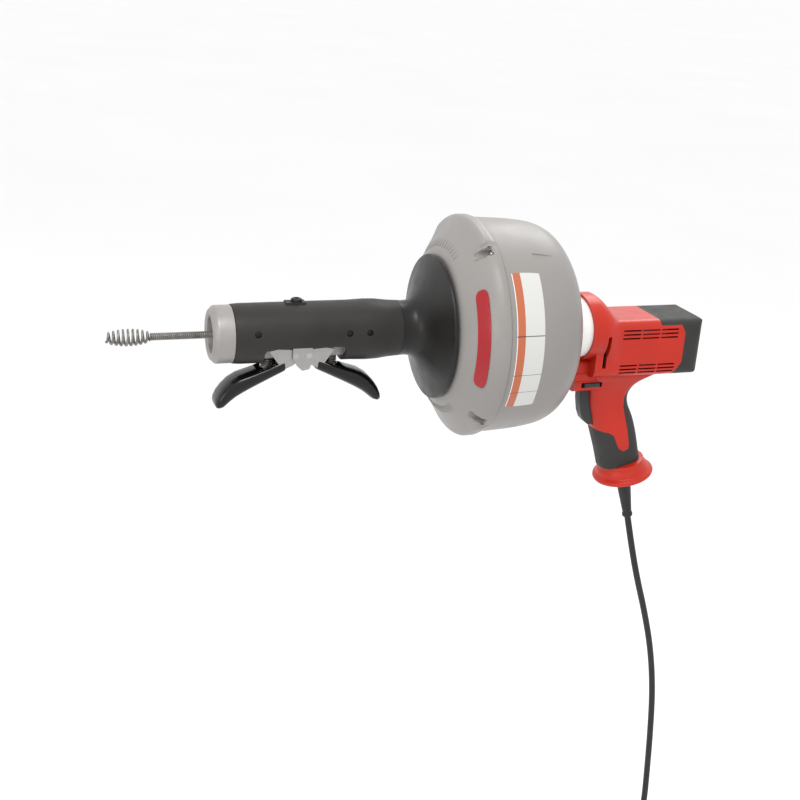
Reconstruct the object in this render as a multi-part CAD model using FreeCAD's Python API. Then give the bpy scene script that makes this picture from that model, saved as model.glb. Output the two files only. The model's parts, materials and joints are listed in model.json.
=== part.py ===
"""Hand-held drain snake machine: pistol-grip motor, cable drum and a two-lever feed head.

Every piece is drawn in machine coordinates, in millimetres: X runs along the machine axis from the
nose (-X) to the motor (+X), X = 0 is the drum's rim plane, and Z = 0 is the drum axis, +Z up.
save() moves each piece so that the origin of the part is the centre of the pistol grip.
"""
import FreeCAD, Part
import math
import os

V = FreeCAD.Vector
X_AXIS = V(1, 0, 0)
Y_AXIS = V(0, 1, 0)
Z_AXIS = V(0, 0, 1)

# ---- driving dimensions ----
GRIP_X = 205.0            # grip centre, which becomes the origin
GRIP_Z = -125.0
CABLE_R = 4.0             # 8 mm drain cable
CABLE_FRONT = -336.0      # where the open auger begins
CABLE_BACK = -30.0
AUGER_TIP = -381.0
AUGER_R = 9.0

RING_FRONT = -276.5       # nose collar
RING_BACK = -254.0
RING_R = 30.0
RING_HOLE_R = 19.5
RING_CHAMFER = 4.0

BARREL_R = 31.4           # feed head barrel
BARREL_WALL_R = 26.8
BARREL_BACK = -76.0
BARREL_SCREWS = [(-232.0, 7.2), (-135.8, 5.0), (-114.2, 5.2)]     # side screws, x and z
CORE_R = 26.5             # aluminium feed body inside the barrel
CORE_FRONT = -243.5
CORE_BACK = -60.0
WINDOW_FRONT = -224.0     # arched opening under the barrel
WINDOW_BACK = -137.5
WINDOW_TOP = -9.0
RIB_HALF = 11.5           # rib of the feed body that carries the plungers
RIB_BOTTOM = -23.8

LEVER_X = -181.5          # middle of the lever bracket
PIVOT_OFFSET = 7.0        # each lever's pin, ahead of and behind the middle
PIVOT_Z = -21.8
PIVOT_R = 3.0
BRACKET_HALF = 17.0       # outside of the bracket's plates, across the machine
FEED_OFFSET = 34.5        # each plunger, ahead of and behind the middle
FRONT_FEED_X = LEVER_X - FEED_OFFSET
REAR_FEED_X = LEVER_X + FEED_OFFSET
LIFT = 4.0                # plunger travel
ROLLER_R = 6.0
ROLLER_LEN = 12.0
ROLLER_PIN_R = 1.5
ROLLER_SKEW = 15.0        # degrees between a roller and the cable
ROLLER_GAP = 0.15
STEM_BOTTOM = -40.2       # plunger stems, round ends on the levers
STEM_R = 4.5
COLLAR_TOP = -35.0        # collar on each stem, under the return spring
LOWER_Z = -(CABLE_R + ROLLER_R + ROLLER_GAP + LIFT)     # lower roller's centre when released
FIT = 0.05                # radial running clearance
GAP = 0.3                 # clearance between sliding or facing surfaces

CONE_BACK = -34.2         # black guard cone in front of the drum
CONE_R = 77.9
NECK_R = 29.2
DRUM_WALL = 3.0
DRUM_BACK = 112.0
HUB_R = 44.0

CASE_Z = -6.0             # gear case is an oval round this height
CASE_HALF_Y = 40.5
CASE_HALF_Z = 34.0
MOTOR_Z = -26.0           # armature axis
MOTOR_HALF_Y = 36.0
MOTOR_TOP = 7.0
MOTOR_BOTTOM = -59.0
MOTOR_FRONT = 150.0
CAP_FRONT = 260.0
CAP_BACK = 286.0
CAP_ROUND = 14.0          # upright corners at the back
SHELL = 2.6
REAR_BEARING_X = 271.0    # front of the rear bearing's seat
NOSE_FRONT = 135.0        # block above the trigger
NOSE_BOTTOM = -78.5
NOSE_HALF_Y = 22.0
SLIDE_FRONT = 147.0       # reverse slide
SLIDE_BACK = 166.0
SLIDE_Z = -70.0

FLANGE_X = 224.0
FLANGE_Z = -190.0
FLANGE_R = 36.0
NECK_TOP = 17.0           # top of the flange's neck above its widest part
GRIP_TILT = 14.5          # degrees, the grip's base leans towards the back

STRAIN_LENGTH = 62.0      # cord's strain relief, below the flange's centre
CORD_R = 4.0
COIL_MID_R = 44.0         # middle of the turns of the stored cord
COIL_HALF_Y = 12.2
COIL_HALF_R = 8.2

SAVED = {}


def save(name, shape):
    """Move a piece to the part's frame and write its STEP file."""
    moved = shape.copy()
    moved.translate(V(-GRIP_X, 0, -GRIP_Z))
    os.makedirs("parts", exist_ok=True)
    moved.exportStep("parts/%s.step" % name)
    SAVED[name] = moved


def lathe(profile, angle=360.0, start=0.0, centre_z=0.0):
    """Closed (x, r) profile turned about the machine axis, starting at the top and going to -Y."""
    points = [V(x, 0, r) for x, r in profile]
    face = Part.Face(Part.makePolygon(points + [points[0]]))
    solid = face.revolve(V(0, 0, 0), X_AXIS, angle)
    solid.rotate(V(0, 0, 0), X_AXIS, start)
    solid.translate(V(0, 0, centre_z))
    return solid


def rod(x0, x1, r, y=0.0, z=0.0):
    """Cylinder along X."""
    return Part.makeCylinder(r, x1 - x0, V(x0, y, z), X_AXIS)


def post(x, z0, z1, r, y=0.0):
    """Cylinder along Z."""
    return Part.makeCylinder(r, z1 - z0, V(x, y, z0), Z_AXIS)


def pin(x, z, half, r):
    """Cylinder across the machine, along Y."""
    return Part.makeCylinder(r, 2 * half, V(x, -half, z), Y_AXIS)


def block(x0, x1, y0, y1, z0, z1):
    """Box between two corners."""
    return Part.makeBox(x1 - x0, y1 - y0, z1 - z0, V(x0, y0, z0))


def slab(points, y0, y1):
    """Side-view polygon (x, z) extruded from y0 to y1."""
    corners = [V(x, y0, z) for x, z in points]
    return Part.Face(Part.makePolygon(corners + [corners[0]])).extrude(V(0, y1 - y0, 0))


def ring(x0, x1, r_in, r_out, y=0.0, z=0.0):
    """Tube along X."""
    return rod(x0, x1, r_out, y, z).cut(rod(x0 - 1, x1 + 1, r_in, y, z))


def oval(x0, x1, half_y, half_z, centre_z):
    """Elliptic prism along X."""
    if half_y >= half_z:
        curve = Part.Ellipse(V(x0, half_y, centre_z), V(x0, 0, centre_z + half_z), V(x0, 0, centre_z))
    else:
        curve = Part.Ellipse(V(x0, 0, centre_z + half_z), V(x0, half_y, centre_z), V(x0, 0, centre_z))
    return Part.Face(Part.Wire(curve.toShape())).extrude(V(x1 - x0, 0, 0))


def rounded_wire(u0, u1, v0, v1, radius, point):
    """Rounded rectangle; point(u, v) gives the place of a corner in space."""
    k = radius * (1 - math.sqrt(0.5))
    sides = [(u0 + radius, v0, u1 - radius, v0), (u1, v0 + radius, u1, v1 - radius),
             (u1 - radius, v1, u0 + radius, v1), (u0, v1 - radius, u0, v0 + radius)]
    mids = [(u1 - k, v0 + k), (u1 - k, v1 - k), (u0 + k, v1 - k), (u0 + k, v0 + k)]
    edges = []
    for i in range(4):
        a, b, c, d = sides[i]
        following = sides[(i + 1) % 4]
        edges.append(Part.LineSegment(point(a, b), point(c, d)).toShape())
        arc = Part.Arc(point(c, d), point(*mids[i]), point(following[0], following[1]))
        edges.append(arc.toShape())
    return Part.Wire(edges)


def prism_x(x0, x1, half_y, z0, z1, radius):
    """Rounded rectangle in the YZ plane extruded along X."""
    wire = rounded_wire(-half_y, half_y, z0, z1, radius, lambda u, v: V(x0, u, v))
    return Part.Face(wire).extrude(V(x1 - x0, 0, 0))


def group(shapes):
    """Several separate solids kept as one piece."""
    return Part.makeCompound(shapes)


def button_screw(place, direction, head_r, head_h, shank_r, length):
    """Button-head screw with a hexagon socket; place is under the head."""
    head = Part.makeCylinder(head_r, head_h, place, direction)
    head = head.makeFillet(head_h * 0.6, [e for e in head.Edges if e.Curve.TypeId == "Part::GeomCircle"
                                          and (e.CenterOfMass - place).dot(direction) > head_h / 2])
    shank = Part.makeCylinder(shank_r, length, place - direction * length, direction)
    socket = Part.makeCylinder(head_r * 0.42, head_h, place + direction * (head_h * 0.45), direction)
    return head.fuse(shank).cut(socket).removeSplitter()


# ---- feed head: collar, barrel, feed body ----

def nose():
    front = RING_FRONT
    save("nose_collar", lathe([(front, RING_HOLE_R + 1.5), (front, RING_R - RING_CHAMFER),
                               (front + RING_CHAMFER + 1.0, RING_R), (RING_BACK - GAP, RING_R),
                               (RING_BACK - GAP, 26.2), (CORE_FRONT - GAP, 26.2),
                               (CORE_FRONT - GAP, RING_HOLE_R), (front + 1.5, RING_HOLE_R)]))
    save("guide_bushing", lathe([(-266, 14.0), (-266, 19.2), (CORE_FRONT - GAP, 19.2),
                                 (CORE_FRONT - GAP, 5.0), (-252, 5.0)]))


def barrel():
    outer = [(RING_BACK, 30.6), (RING_BACK + 8, BARREL_R - 0.2), (-190, BARREL_R), (-130, BARREL_R),
             (-112, BARREL_R + 0.8), (-100, BARREL_R + 0.5), (-86, 30.2), (BARREL_BACK, 29.6)]
    inner = [(BARREL_BACK, BARREL_WALL_R), (RING_BACK, BARREL_WALL_R)]
    shell = lathe(outer + inner)
    shell = shell.fuse(block(-198, -177, -6, 6, 28.5, BARREL_R + 1.2))
    window = block(WINDOW_FRONT, WINDOW_BACK, -50, 50, -60, WINDOW_TOP)
    upright = [e for e in window.Edges if abs(e.Vertexes[0].Z - e.Vertexes[1].Z) < 1e-6
               and abs(e.Vertexes[0].X - e.Vertexes[1].X) < 1e-6 and e.Vertexes[0].Z > -20]
    window = window.makeFillet(7.0, upright)
    shell = shell.cut(window)
    shell = shell.cut(post(-186, 10, 40, 3.1))
    for x, z in BARREL_SCREWS:
        for side in (-1, 1):
            pocket = Part.makeCylinder(3.4, 6, V(x, side * 28.6, z), V(0, side, 0))
            hole = Part.makeCylinder(2.1, 8, V(x, side * 24, z), V(0, side, 0))
            shell = shell.cut(pocket).cut(hole)
    save("barrel_sleeve", shell.removeSplitter())

    core = rod(CORE_FRONT, CORE_BACK, CORE_R)
    flat = block(WINDOW_FRONT - 2, WINDOW_BACK + 2, -40, 40, -40, WINDOW_TOP)
    rib = block(WINDOW_FRONT - 2, WINDOW_BACK + 2, -RIB_HALF, RIB_HALF, RIB_BOTTOM, WINDOW_TOP + 1)
    core = core.cut(flat).fuse(rib)
    core = core.cut(rod(CORE_FRONT - 1, -84, 5.6)).cut(rod(-84, CORE_BACK + 1, 22.4))
    for x in (FRONT_FEED_X, REAR_FEED_X):
        core = core.cut(block(x - 13, x + 13, -16.5, 16.5, -8.8, 14))
        core = core.cut(post(x, -22.2, 0, 9.0 + GAP)).cut(post(x, -40, 0, STEM_R + GAP))
    core = core.cut(post(-186, 5, 40, 3.0))
    for x, z in BARREL_SCREWS:
        for side in (-1, 1):
            core = core.cut(Part.makeCylinder(2.0, 14, V(x, side * 17, z), V(0, side, 0)))
    for label, made in upper_rollers():
        core = core.cut(made["pin"])
    for offset in (-PIVOT_OFFSET, PIVOT_OFFSET):
        core = core.cut(pin(LEVER_X + offset, PIVOT_Z, BRACKET_HALF, PIVOT_R))
    save("feed_body", core.removeSplitter())
    head_z = BARREL_R + 1.2
    screws = [button_screw(V(-186, 0, head_z), Z_AXIS, 6.0, 3.4, 3.0, 18)]
    for x, z in BARREL_SCREWS:
        for side in (-1, 1):
            screws.append(button_screw(V(x, side * 28.6, z), V(0, side, 0), 2.9, 1.2, 1.6, 10))
    save("feed_head_screws", group(screws))


def skewed_axis(angle, skew):
    """Direction of a roller that lies at an angle round the cable, turned by skew about its radius."""
    radial = V(0, -math.sin(math.radians(angle)), math.cos(math.radians(angle)))
    turn = FreeCAD.Rotation(radial, skew)
    return turn.multVec(X_AXIS), radial


def roller(centre, direction):
    """Roller and its pin, with running clearance between them."""
    start = centre - direction * (ROLLER_LEN / 2)
    body = Part.makeCylinder(ROLLER_R, ROLLER_LEN, start, direction)
    body = body.makeChamfer(0.8, [e for e in body.Edges if e.Curve.TypeId == "Part::GeomCircle"])
    return body.cut(Part.makeCylinder(ROLLER_PIN_R + FIT, ROLLER_LEN + 4, start - direction * 2, direction))


def upper_rollers():
    """Name, solids and axis of the four rollers that are fixed above the cable."""
    found = []
    for label, x, skew in (("front", FRONT_FEED_X, ROLLER_SKEW), ("rear", REAR_FEED_X, -ROLLER_SKEW)):
        for side, angle in (("left", 60.0), ("right", -60.0)):
            direction, radial = skewed_axis(angle, skew)
            centre = V(x, 0, 0) + radial * (CABLE_R + ROLLER_R + ROLLER_GAP)
            length = 31.0
            spindle = Part.makeCylinder(ROLLER_PIN_R, length, centre - direction * (length / 2), direction)
            found.append((label + "_roller_" + side,
                          {"roller": roller(centre, direction), "pin": spindle,
                           "centre": centre, "axis": direction}))
    return found


def feed_rollers():
    pins = []
    for name, made in upper_rollers():
        save(name, made["roller"])
        pins.append(made["pin"])
    for offset in (-PIVOT_OFFSET, PIVOT_OFFSET):
        pins.append(pin(LEVER_X + offset, PIVOT_Z, BRACKET_HALF, PIVOT_R))
    save("feed_head_pins", group(pins))


def plunger(label, x, skew):
    """Plunger that a lever pushes up, with its roller, pin and return spring."""
    direction = V(math.cos(math.radians(skew)), math.sin(math.radians(skew)), 0)
    centre = V(x, 0, LOWER_Z)
    turn = FreeCAD.Placement(V(x, 0, 0), FreeCAD.Rotation(Z_AXIS, skew))
    body = post(x, LOWER_Z - ROLLER_R - 1.6, LOWER_Z + 3.2, 9.0)
    slot = block(-ROLLER_LEN / 2 - GAP, ROLLER_LEN / 2 + GAP, -10, 10, LOWER_Z - ROLLER_R - GAP, LOWER_Z + 9)
    slot.Placement = turn
    body = body.cut(slot)
    stem = post(x, STEM_BOTTOM + STEM_R, LOWER_Z - ROLLER_R - 0.8, STEM_R)
    tip = Part.makeSphere(STEM_R, V(x, 0, STEM_BOTTOM + STEM_R))
    collar = post(x, COLLAR_TOP - 1.8, COLLAR_TOP, 7.2)
    length = 17.0
    spindle = Part.makeCylinder(ROLLER_PIN_R, length, centre - direction * (length / 2), direction)
    body = body.fuse([stem, tip, collar, spindle]).removeSplitter()
    save(label + "_plunger", body)
    save(label + "_feed_roller", roller(centre, direction))
    coil = post(x, COLLAR_TOP + FIT, RIB_BOTTOM - FIT, 7.0)
    save(label + "_spring", coil.cut(post(x, -80, 0, STEM_R + GAP)))


# ---- levers ----

def flip(shape):
    """Mirror a piece of the front lever to the rear one, about the bracket's middle."""
    return shape.mirror(V(LEVER_X, 0, 0), X_AXIS)


GRIP_SIDE = [(-198.5, -39.5), (-200, -25.5), (-212, -29.8), (-232, -37.8), (-247, -43.2), (-256, -48.8),
             (-263, -56.0), (-267.5, -62.5), (-270.5, -69.0), (-270.2, -74.0), (-266.5, -76.8),
             (-261.5, -75.6), (-251, -66.8), (-234, -57.2), (-213.5, -47.0)]
GRIP_HALF = 15.5
GRIP_WALL = 3.3


GRIP_TROUGH = [(-190, -36.0), (-213.5, -42.4), (-234, -52.6), (-251, -62.2), (-258.5, -68.6), (-262, -60),
               (-256, -46), (-232, -30), (-190, -18)]     # inside of the grip, open on the barrel's side


def front_lever_parts():
    """Steel channel with two cheeks, and the dipped grip over its end."""
    pivot_x = LEVER_X - PIVOT_OFFSET
    cheek = [(pivot_x, PIVOT_Z + 6), (-207.5, -14.6), (-216.5, -16.5), (-206, -31.0), (-245, -50.0),
             (-247, -55.5), (-214, -42.6), (-203.5, -38.0), (-190.5, -32.4), (-185.2, -26.8)]
    sheet = 2.0
    half = 14.2
    cheeks = []
    for y0, y1 in ((-half, -half + sheet), (half - sheet, half)):
        eye = Part.makeCylinder(6.0, sheet, V(pivot_x, y0, PIVOT_Z), Y_AXIS)
        cheeks.append(slab(cheek, y0, y1).fuse(eye))
    web = slab([(-193, -33.5), (-203.5, -38.0), (-214, -42.6), (-247, -59.5),
                (-247.5, -57.0), (-214, -40.2), (-203.5, -35.6), (-193, -31.1)], -half, half)
    channel = web.fuse(cheeks).cut(pin(pivot_x, PIVOT_Z, 30, PIVOT_R + FIT)).removeSplitter()
    shell = slab(GRIP_SIDE, -GRIP_HALF, GRIP_HALF)
    hollow = slab(GRIP_TROUGH, -GRIP_HALF + GRIP_WALL, GRIP_HALF - GRIP_WALL)
    grip = shell.cut(hollow).cut(channel)
    largest = max(grip.Solids, key=lambda solid: solid.Volume)
    return channel, largest


def levers():
    channel, grip = front_lever_parts()
    save("front_lever", channel)
    save("front_lever_grip", grip)
    save("rear_lever", flip(channel))
    save("rear_lever_grip", flip(grip))
    side = [(-189.5, WINDOW_TOP), (-173.5, WINDOW_TOP), (-171.0, -13.0), (-170.5, -27.0), (-174.0, -36.5),
            (-181.5, -38.0), (-187.0, -33.0), (-192.0, -25.0), (-192.0, -14.0)]
    plates = []
    for y in (-BRACKET_HALF, BRACKET_HALF - 2):
        plate = slab(side, y, y + 2)
        outward = -5 if y < 0 else 5
        y0, y1 = sorted((y + 1, y + 1 + outward))
        plate = plate.fuse(block(-189.5, -173.5, y0, y1, WINDOW_TOP - 2, WINDOW_TOP))
        for offset in (-PIVOT_OFFSET, PIVOT_OFFSET):
            plate = plate.cut(pin(LEVER_X + offset, PIVOT_Z, 30, PIVOT_R))
        plates.append(plate.removeSplitter())
    save("lever_bracket", group(plates))


# ---- guard cone and drum ----

def cone():
    outer = [(BARREL_BACK + GAP, 29.6), (-66, NECK_R), (-60, 30.4), (-55, 34.5), (-50.5, 42), (-46.5, 50.5),
             (-42.5, 61), (-39.0, 71.5), (-37.2, CONE_R - 0.6), (-36.6, CONE_R), (CONE_BACK, CONE_R)]
    inner = [(CONE_BACK, CONE_R - 2.6), (-36.0, 71.0), (-39.5, 60.0), (-43.5, 49.5), (-47.5, 41),
             (-52.0, 33.0), (-57.0, BARREL_WALL_R), (BARREL_BACK + GAP, BARREL_WALL_R)]
    save("guard_cone", lathe(outer + inner))
    save("neck_tube", ring(-83.5, -8.0, 17.0, 22.2))


FRONT_FACE = [(-31.0, 78.0), (-26.5, 88.0), (-20.5, 98.0), (-13.5, 107.5), (-7.5, 113.6), (-2.0, 117.0)]
BOWL = [(9.0, 116.8), (30.0, 116.0), (52.0, 114.6), (67.0, 112.6), (75.0, 110.9), (82.5, 108.0), (89.5, 103.6),
        (96.0, 97.0), (102.0, 88.0), (107.0, 77.0), (110.5, 64.0), (DRUM_BACK, HUB_R + 4)]
LUG_PROFILE = [(-16.2, 104.0), (-8.4, 117.8), (-7.6, 119.0), (-6.2, 119.8), (7.5, 120.8), (7.5, 114.0),
               (0.0, 112.0), (-8.0, 104.0)]
LUG_SPANS = [(-39.0, 29.2), (136.8, 205.0)]     # degrees from the top, both ends of each lug
POCKET_ANGLES = [32.5, 133.5, 208.3, 317.7]
POCKET_R = 5.2
SCREW_CIRCLE_R = 109.8


def drum():
    face = [(-34.5, 36.0), (-33.0, 62.0)] + FRONT_FACE
    back = [(x + DRUM_WALL * 0.9, r - DRUM_WALL * 0.5) for x, r in reversed(face)]
    rim = [(-1.5, 118.2), (7.5, 118.2), (7.5, 113.0), (3.0, 112.6)]
    cover = lathe(face + rim + back[1:])
    boss = ring(-34.5, -14.0, 31.0 + FIT, 38.0)
    cover = cover.fuse(boss)
    for start, end in LUG_SPANS:
        cover = cover.fuse(lathe(LUG_PROFILE, end - start, start))
    screws = []
    for angle in POCKET_ANGLES:
        radial = V(0, -math.sin(math.radians(angle)), math.cos(math.radians(angle)))
        for r in (SCREW_CIRCLE_R, SCREW_CIRCLE_R + POCKET_R):
            cover = cover.cut(Part.makeCylinder(POCKET_R, 20, radial * r + V(-18, 0, 0), X_AXIS))
        place = radial * SCREW_CIRCLE_R
        cover = cover.cut(Part.makeCylinder(2.2, 30, place, X_AXIS))
        screws.append(button_screw(place + V(2.0, 0, 0), V(-1, 0, 0), 4.2, 2.6, 2.0, 14))
    save("drum_cover", cover.removeSplitter())
    save("drum_screws", group(screws))

    inside = [(x - DRUM_WALL * 0.5, r - DRUM_WALL) for x, r in reversed(BOWL[1:])]
    inside = [(DRUM_BACK - DRUM_WALL, HUB_R + 4)] + inside[1:] + [(8.0, 108.0)]
    bowl = lathe([(7.8, 104.0), (7.8, 116.8)] + BOWL + [(DRUM_BACK, 20.0), (DRUM_BACK - DRUM_WALL, 20.0)]
                 + inside + [(12.0, 104.0)])
    for angle in POCKET_ANGLES:
        radial = V(0, -math.sin(math.radians(angle)), math.cos(math.radians(angle)))
        bowl = bowl.cut(Part.makeCylinder(2.0, 12, radial * SCREW_CIRCLE_R + V(5, 0, 0), X_AXIS))
    save("drum_bowl", bowl.removeSplitter())
    save("drum_hub", lathe([(100.0, 6.0), (100.0, 30.0), (DRUM_BACK - DRUM_WALL - 0.2, 38.0),
                            (DRUM_BACK - DRUM_WALL - 0.2, 19.6), (113.5, 19.6), (113.5, 6.0)]))
    save("front_bearing", ring(-33.0, -15.5, 22.2 + FIT, 31.0))


def drum_inside():
    tub = lathe([(12.5, 70.0), (12.5, 102.5), (73.0, 102.5), (80.0, 95.0), (80.0, 34.0), (78.0, 34.0),
                 (78.0, 94.0), (72.0, 100.5), (14.5, 100.5), (14.5, 70.0)])
    save("inner_drum", tub)
    save("stored_cable", lathe([(18.0, 84.0), (18.0, 96.0), (22.0, 100.0), (68.0, 100.0), (75.0, 93.0),
                                (75.0, 84.0)]))
    straight = Part.LineSegment(V(-70, 0, 0), V(22, 0, 0)).toShape()
    bend_r = 34.0
    k = bend_r * math.sqrt(0.5)
    bend = Part.Arc(V(22, 0, 0), V(22 + k, 0, bend_r - k), V(22 + bend_r, 0, bend_r)).toShape()
    rise = Part.LineSegment(V(22 + bend_r, 0, bend_r), V(22 + bend_r, 0, 64.0)).toShape()
    path = Part.Wire([straight, bend, rise])
    tube = []
    for r in (7.5, 5.2):
        section = Part.Wire(Part.makeCircle(r, V(-70, 0, 0), X_AXIS))
        tube.append(path.makePipeShell([section], True, False))
    save("cable_guide_tube", tube[0].cut(tube[1]))


def cable():
    save("cable", rod(CABLE_FRONT, CABLE_BACK, CABLE_R))
    save("bulb_auger", lathe([(AUGER_TIP, 0), (AUGER_TIP, 5.0), (AUGER_TIP + 10, 7.6), (AUGER_TIP + 20, AUGER_R),
                              (AUGER_TIP + 27, AUGER_R), (AUGER_TIP + 37, 6.6), (CABLE_FRONT, 4.4),
                              (CABLE_FRONT, 0)]))


# ---- gear train ----

PINION_TEETH = 7
IDLER_TEETH = 34
FIRST_MODULE = 0.8
IDLER_PINION_TEETH = 9
OUTPUT_TEETH = 30
SECOND_MODULE = 1.0
FIRST_CENTRES = FIRST_MODULE * (PINION_TEETH + IDLER_TEETH) / 2
SECOND_CENTRES = SECOND_MODULE * (IDLER_PINION_TEETH + OUTPUT_TEETH) / 2
IDLER_Z = (FIRST_CENTRES ** 2 - SECOND_CENTRES ** 2 - MOTOR_Z ** 2) / (-2 * MOTOR_Z)
IDLER_Y = math.sqrt(SECOND_CENTRES ** 2 - IDLER_Z ** 2)
TOOTH_FILL = 0.78


def gear(teeth, module, x0, x1, bore, y, z, phase):
    """Spur gear along X, with a tooth centred at phase (radians from +Y towards +Z)."""
    pitch = module * teeth / 2
    root = pitch - 1.2 * module
    tip = pitch + 0.9 * module
    half = math.pi / (2 * teeth) * TOOTH_FILL
    corners = []
    for i in range(teeth):
        mid = phase + 2 * math.pi * i / teeth
        for r, w in ((root, -1.45), (pitch, -1.0), (tip, -0.42), (tip, 0.42), (pitch, 1.0), (root, 1.45)):
            corners.append(V(x0, y + r * math.cos(mid + w * half), z + r * math.sin(mid + w * half)))
    wheel = Part.Face(Part.makePolygon(corners + [corners[0]])).extrude(V(x1 - x0, 0, 0))
    return wheel.cut(rod(x0 - 1, x1 + 1, bore, y, z))


def gear_train():
    to_idler = math.atan2(IDLER_Z, IDLER_Y)
    save("output_gear", gear(OUTPUT_TEETH, SECOND_MODULE, 150, 158, 6.0, 0, 0, to_idler))
    small = gear(IDLER_PINION_TEETH, SECOND_MODULE, 149.5, 161.0, 2.0, IDLER_Y, IDLER_Z,
                 to_idler + math.pi + math.pi / IDLER_PINION_TEETH)
    to_idler = math.atan2(IDLER_Z - MOTOR_Z, IDLER_Y)
    large = gear(IDLER_TEETH, FIRST_MODULE, 161, 168, 2.0, IDLER_Y, IDLER_Z,
                 to_idler + math.pi + math.pi / IDLER_TEETH)
    shaft = rod(141.0, 172.5, 2.5, IDLER_Y, IDLER_Z)
    save("idler_gear", small.fuse([large, shaft]).removeSplitter())
    save("spindle", rod(100.0, 159.0, 6.0).fuse(rod(146.0, 149.5, 8.5)).removeSplitter())
    save("spindle_bearing", ring(123.0, 133.0, 6.0 + FIT, 14.0))

    case = oval(115.0, 155.0, CASE_HALF_Y, CASE_HALF_Z, CASE_Z)
    hollow = oval(138.0, 160.0, CASE_HALF_Y - 3, CASE_HALF_Z - 3, CASE_Z)
    case = case.cut(hollow).cut(rod(110, 140, 6.0 + FIT)).cut(rod(123.0, 133.0, 14.0))
    case = case.cut(rod(140.5, 160, 2.5 + FIT, IDLER_Y, IDLER_Z))
    boss = ring(138.0, 145.0, 2.5 + FIT, 4.0, IDLER_Y, IDLER_Z)
    save("gear_case", case.fuse(boss).cut(rod(136, 146, 6.0 + FIT)).removeSplitter())
    plate = prism_x(171.0, 182.5, MOTOR_HALF_Y - SHELL - 0.2, MOTOR_BOTTOM + SHELL + 0.2,
                    MOTOR_TOP - SHELL - 0.2, 8)
    plate = plate.cut(rod(170, 173.5, 2.5 + FIT, IDLER_Y, IDLER_Z)).cut(rod(170, 190, 4.8, 0, MOTOR_Z))
    save("gear_plate", plate.cut(rod(174.5, 190, 11.0, 0, MOTOR_Z)).removeSplitter())


# ---- motor ----

def motor():
    save("motor_bearings", group([ring(x, x + 7.0, 4.0 + FIT, 11.0, 0, MOTOR_Z) for x in (175.0, REAR_BEARING_X + 2)]))
    shaft = rod(169.5, CAP_BACK - 4, 4.0, 0, MOTOR_Z)
    pinion = gear(PINION_TEETH, FIRST_MODULE, 160.0, 169.6, 1.0, 0, MOTOR_Z,
                  math.atan2(IDLER_Z - MOTOR_Z, IDLER_Y))
    core = rod(160.0, 175.0, 1.6, 0, MOTOR_Z)
    save("armature_shaft", shaft.fuse([pinion, core]).removeSplitter())
    core = ring(203.0, 243.0, 4.0, 17.0, 0, MOTOR_Z)
    for i in range(12):
        angle = 2 * math.pi * i / 12
        core = core.cut(rod(202, 244, 1.8, 16.0 * math.cos(angle), MOTOR_Z + 16.0 * math.sin(angle)))
    save("armature_core", core)
    save("commutator", ring(252.0, 266.0, 4.0, 10.5, 0, MOTOR_Z))
    blades = ring(186.0, 194.0, 4.0, 8.0, 0, MOTOR_Z).fuse(ring(192.5, 194.0, 7.0, 24.0, 0, MOTOR_Z))
    for i in range(9):
        blade = block(187.0, 193.0, 7.5, 24.0, MOTOR_Z - 0.8, MOTOR_Z + 0.8)
        blade.rotate(V(190, 0, MOTOR_Z), X_AXIS, 40.0 * i)
        blades = blades.fuse(blade)
    save("cooling_fan", blades.removeSplitter())
    stator = prism_x(205.0, 241.0, 30.0, MOTOR_Z - 28.0, MOTOR_Z + 28.0, 12.0)
    save("stator", stator.cut(rod(200, 250, 17.6, 0, MOTOR_Z)))
    brushes = []
    for side in (-1, 1):
        y0, y1 = sorted((side * 10.8, side * 27.0))
        brushes.append(block(255.0, 263.0, y0, y1, MOTOR_Z - 4, MOTOR_Z + 4))
    save("motor_brushes", group(brushes))


# ---- housing, grip and controls ----

GRIP_SECTIONS = [(-56.0, 152.0, 246.0, 25.0, 12.0), (-68.0, 158.0, 226.0, 22.5, 12.0),
                 (-80.0, 161.5, 214.5, 19.0, 13.0), (-94.0, 163.5, 212.5, 17.5, 13.0),
                 (-110.0, 167.0, 219.5, 17.5, 14.0), (-128.0, 172.5, 227.5, 18.0, 15.0),
                 (-147.0, 179.5, 233.5, 18.5, 15.5), (-167.0, 186.5, 239.0, 19.0, 16.0),
                 (-190.0, 194.5, 245.0, 19.5, 16.0)]


def below_neck():
    """Space that the flange's leaning neck and everything under it may take."""
    return in_grip_frame(block(100, 340, -70, 70, FLANGE_Z - 80, FLANGE_Z + NECK_TOP))


def grip_solid(inset):
    """Pistol grip lofted through rounded sections; each is (z, x front, x rear, half width, radius)."""
    wires = []
    for z, x0, x1, half, radius in GRIP_SECTIONS:
        wires.append(rounded_wire(x0 + inset, x1 - inset, -half + inset, half - inset,
                                  radius - inset * 0.8, lambda u, v, z=z: V(u, v, z)))
    return Part.makeLoft(wires, True, False).cut(below_neck())


def cap_region():
    """Space that the rear cap takes from the motor case: deeper over the top than at the sides."""
    side = [(320, 20), (228, 20), (229, 1.5), (255, 1.5), (CAP_FRONT, -8), (CAP_FRONT, -42),
            (250, -59), (250, -80), (320, -80)]
    return slab(side, -60, 60)


HOUSING_SCREWS = [(168.0, MOTOR_HALF_Y, -25.5), (253.5, MOTOR_HALF_Y, -25.5), (156.0, NOSE_HALF_Y, -61.0),
                  (193.0, 17.5, -108.0)]


# the collar flows into the motor case: x, top, bottom, half width, squareness
SHOULDER = [(153.0, 31.2, -43.2, 43.7, 2.0), (158.0, 30.0, -44.5, 43.4, 2.05), (163.0, 26.0, -47.0, 42.4, 2.3),
            (168.0, 20.2, -50.5, 40.4, 2.8), (173.0, 13.2, -54.5, 38.2, 3.6), (178.0, 8.4, -57.5, 36.6, 4.6),
            (183.0, 6.8, -58.8, 35.8, 5.5)]


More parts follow.
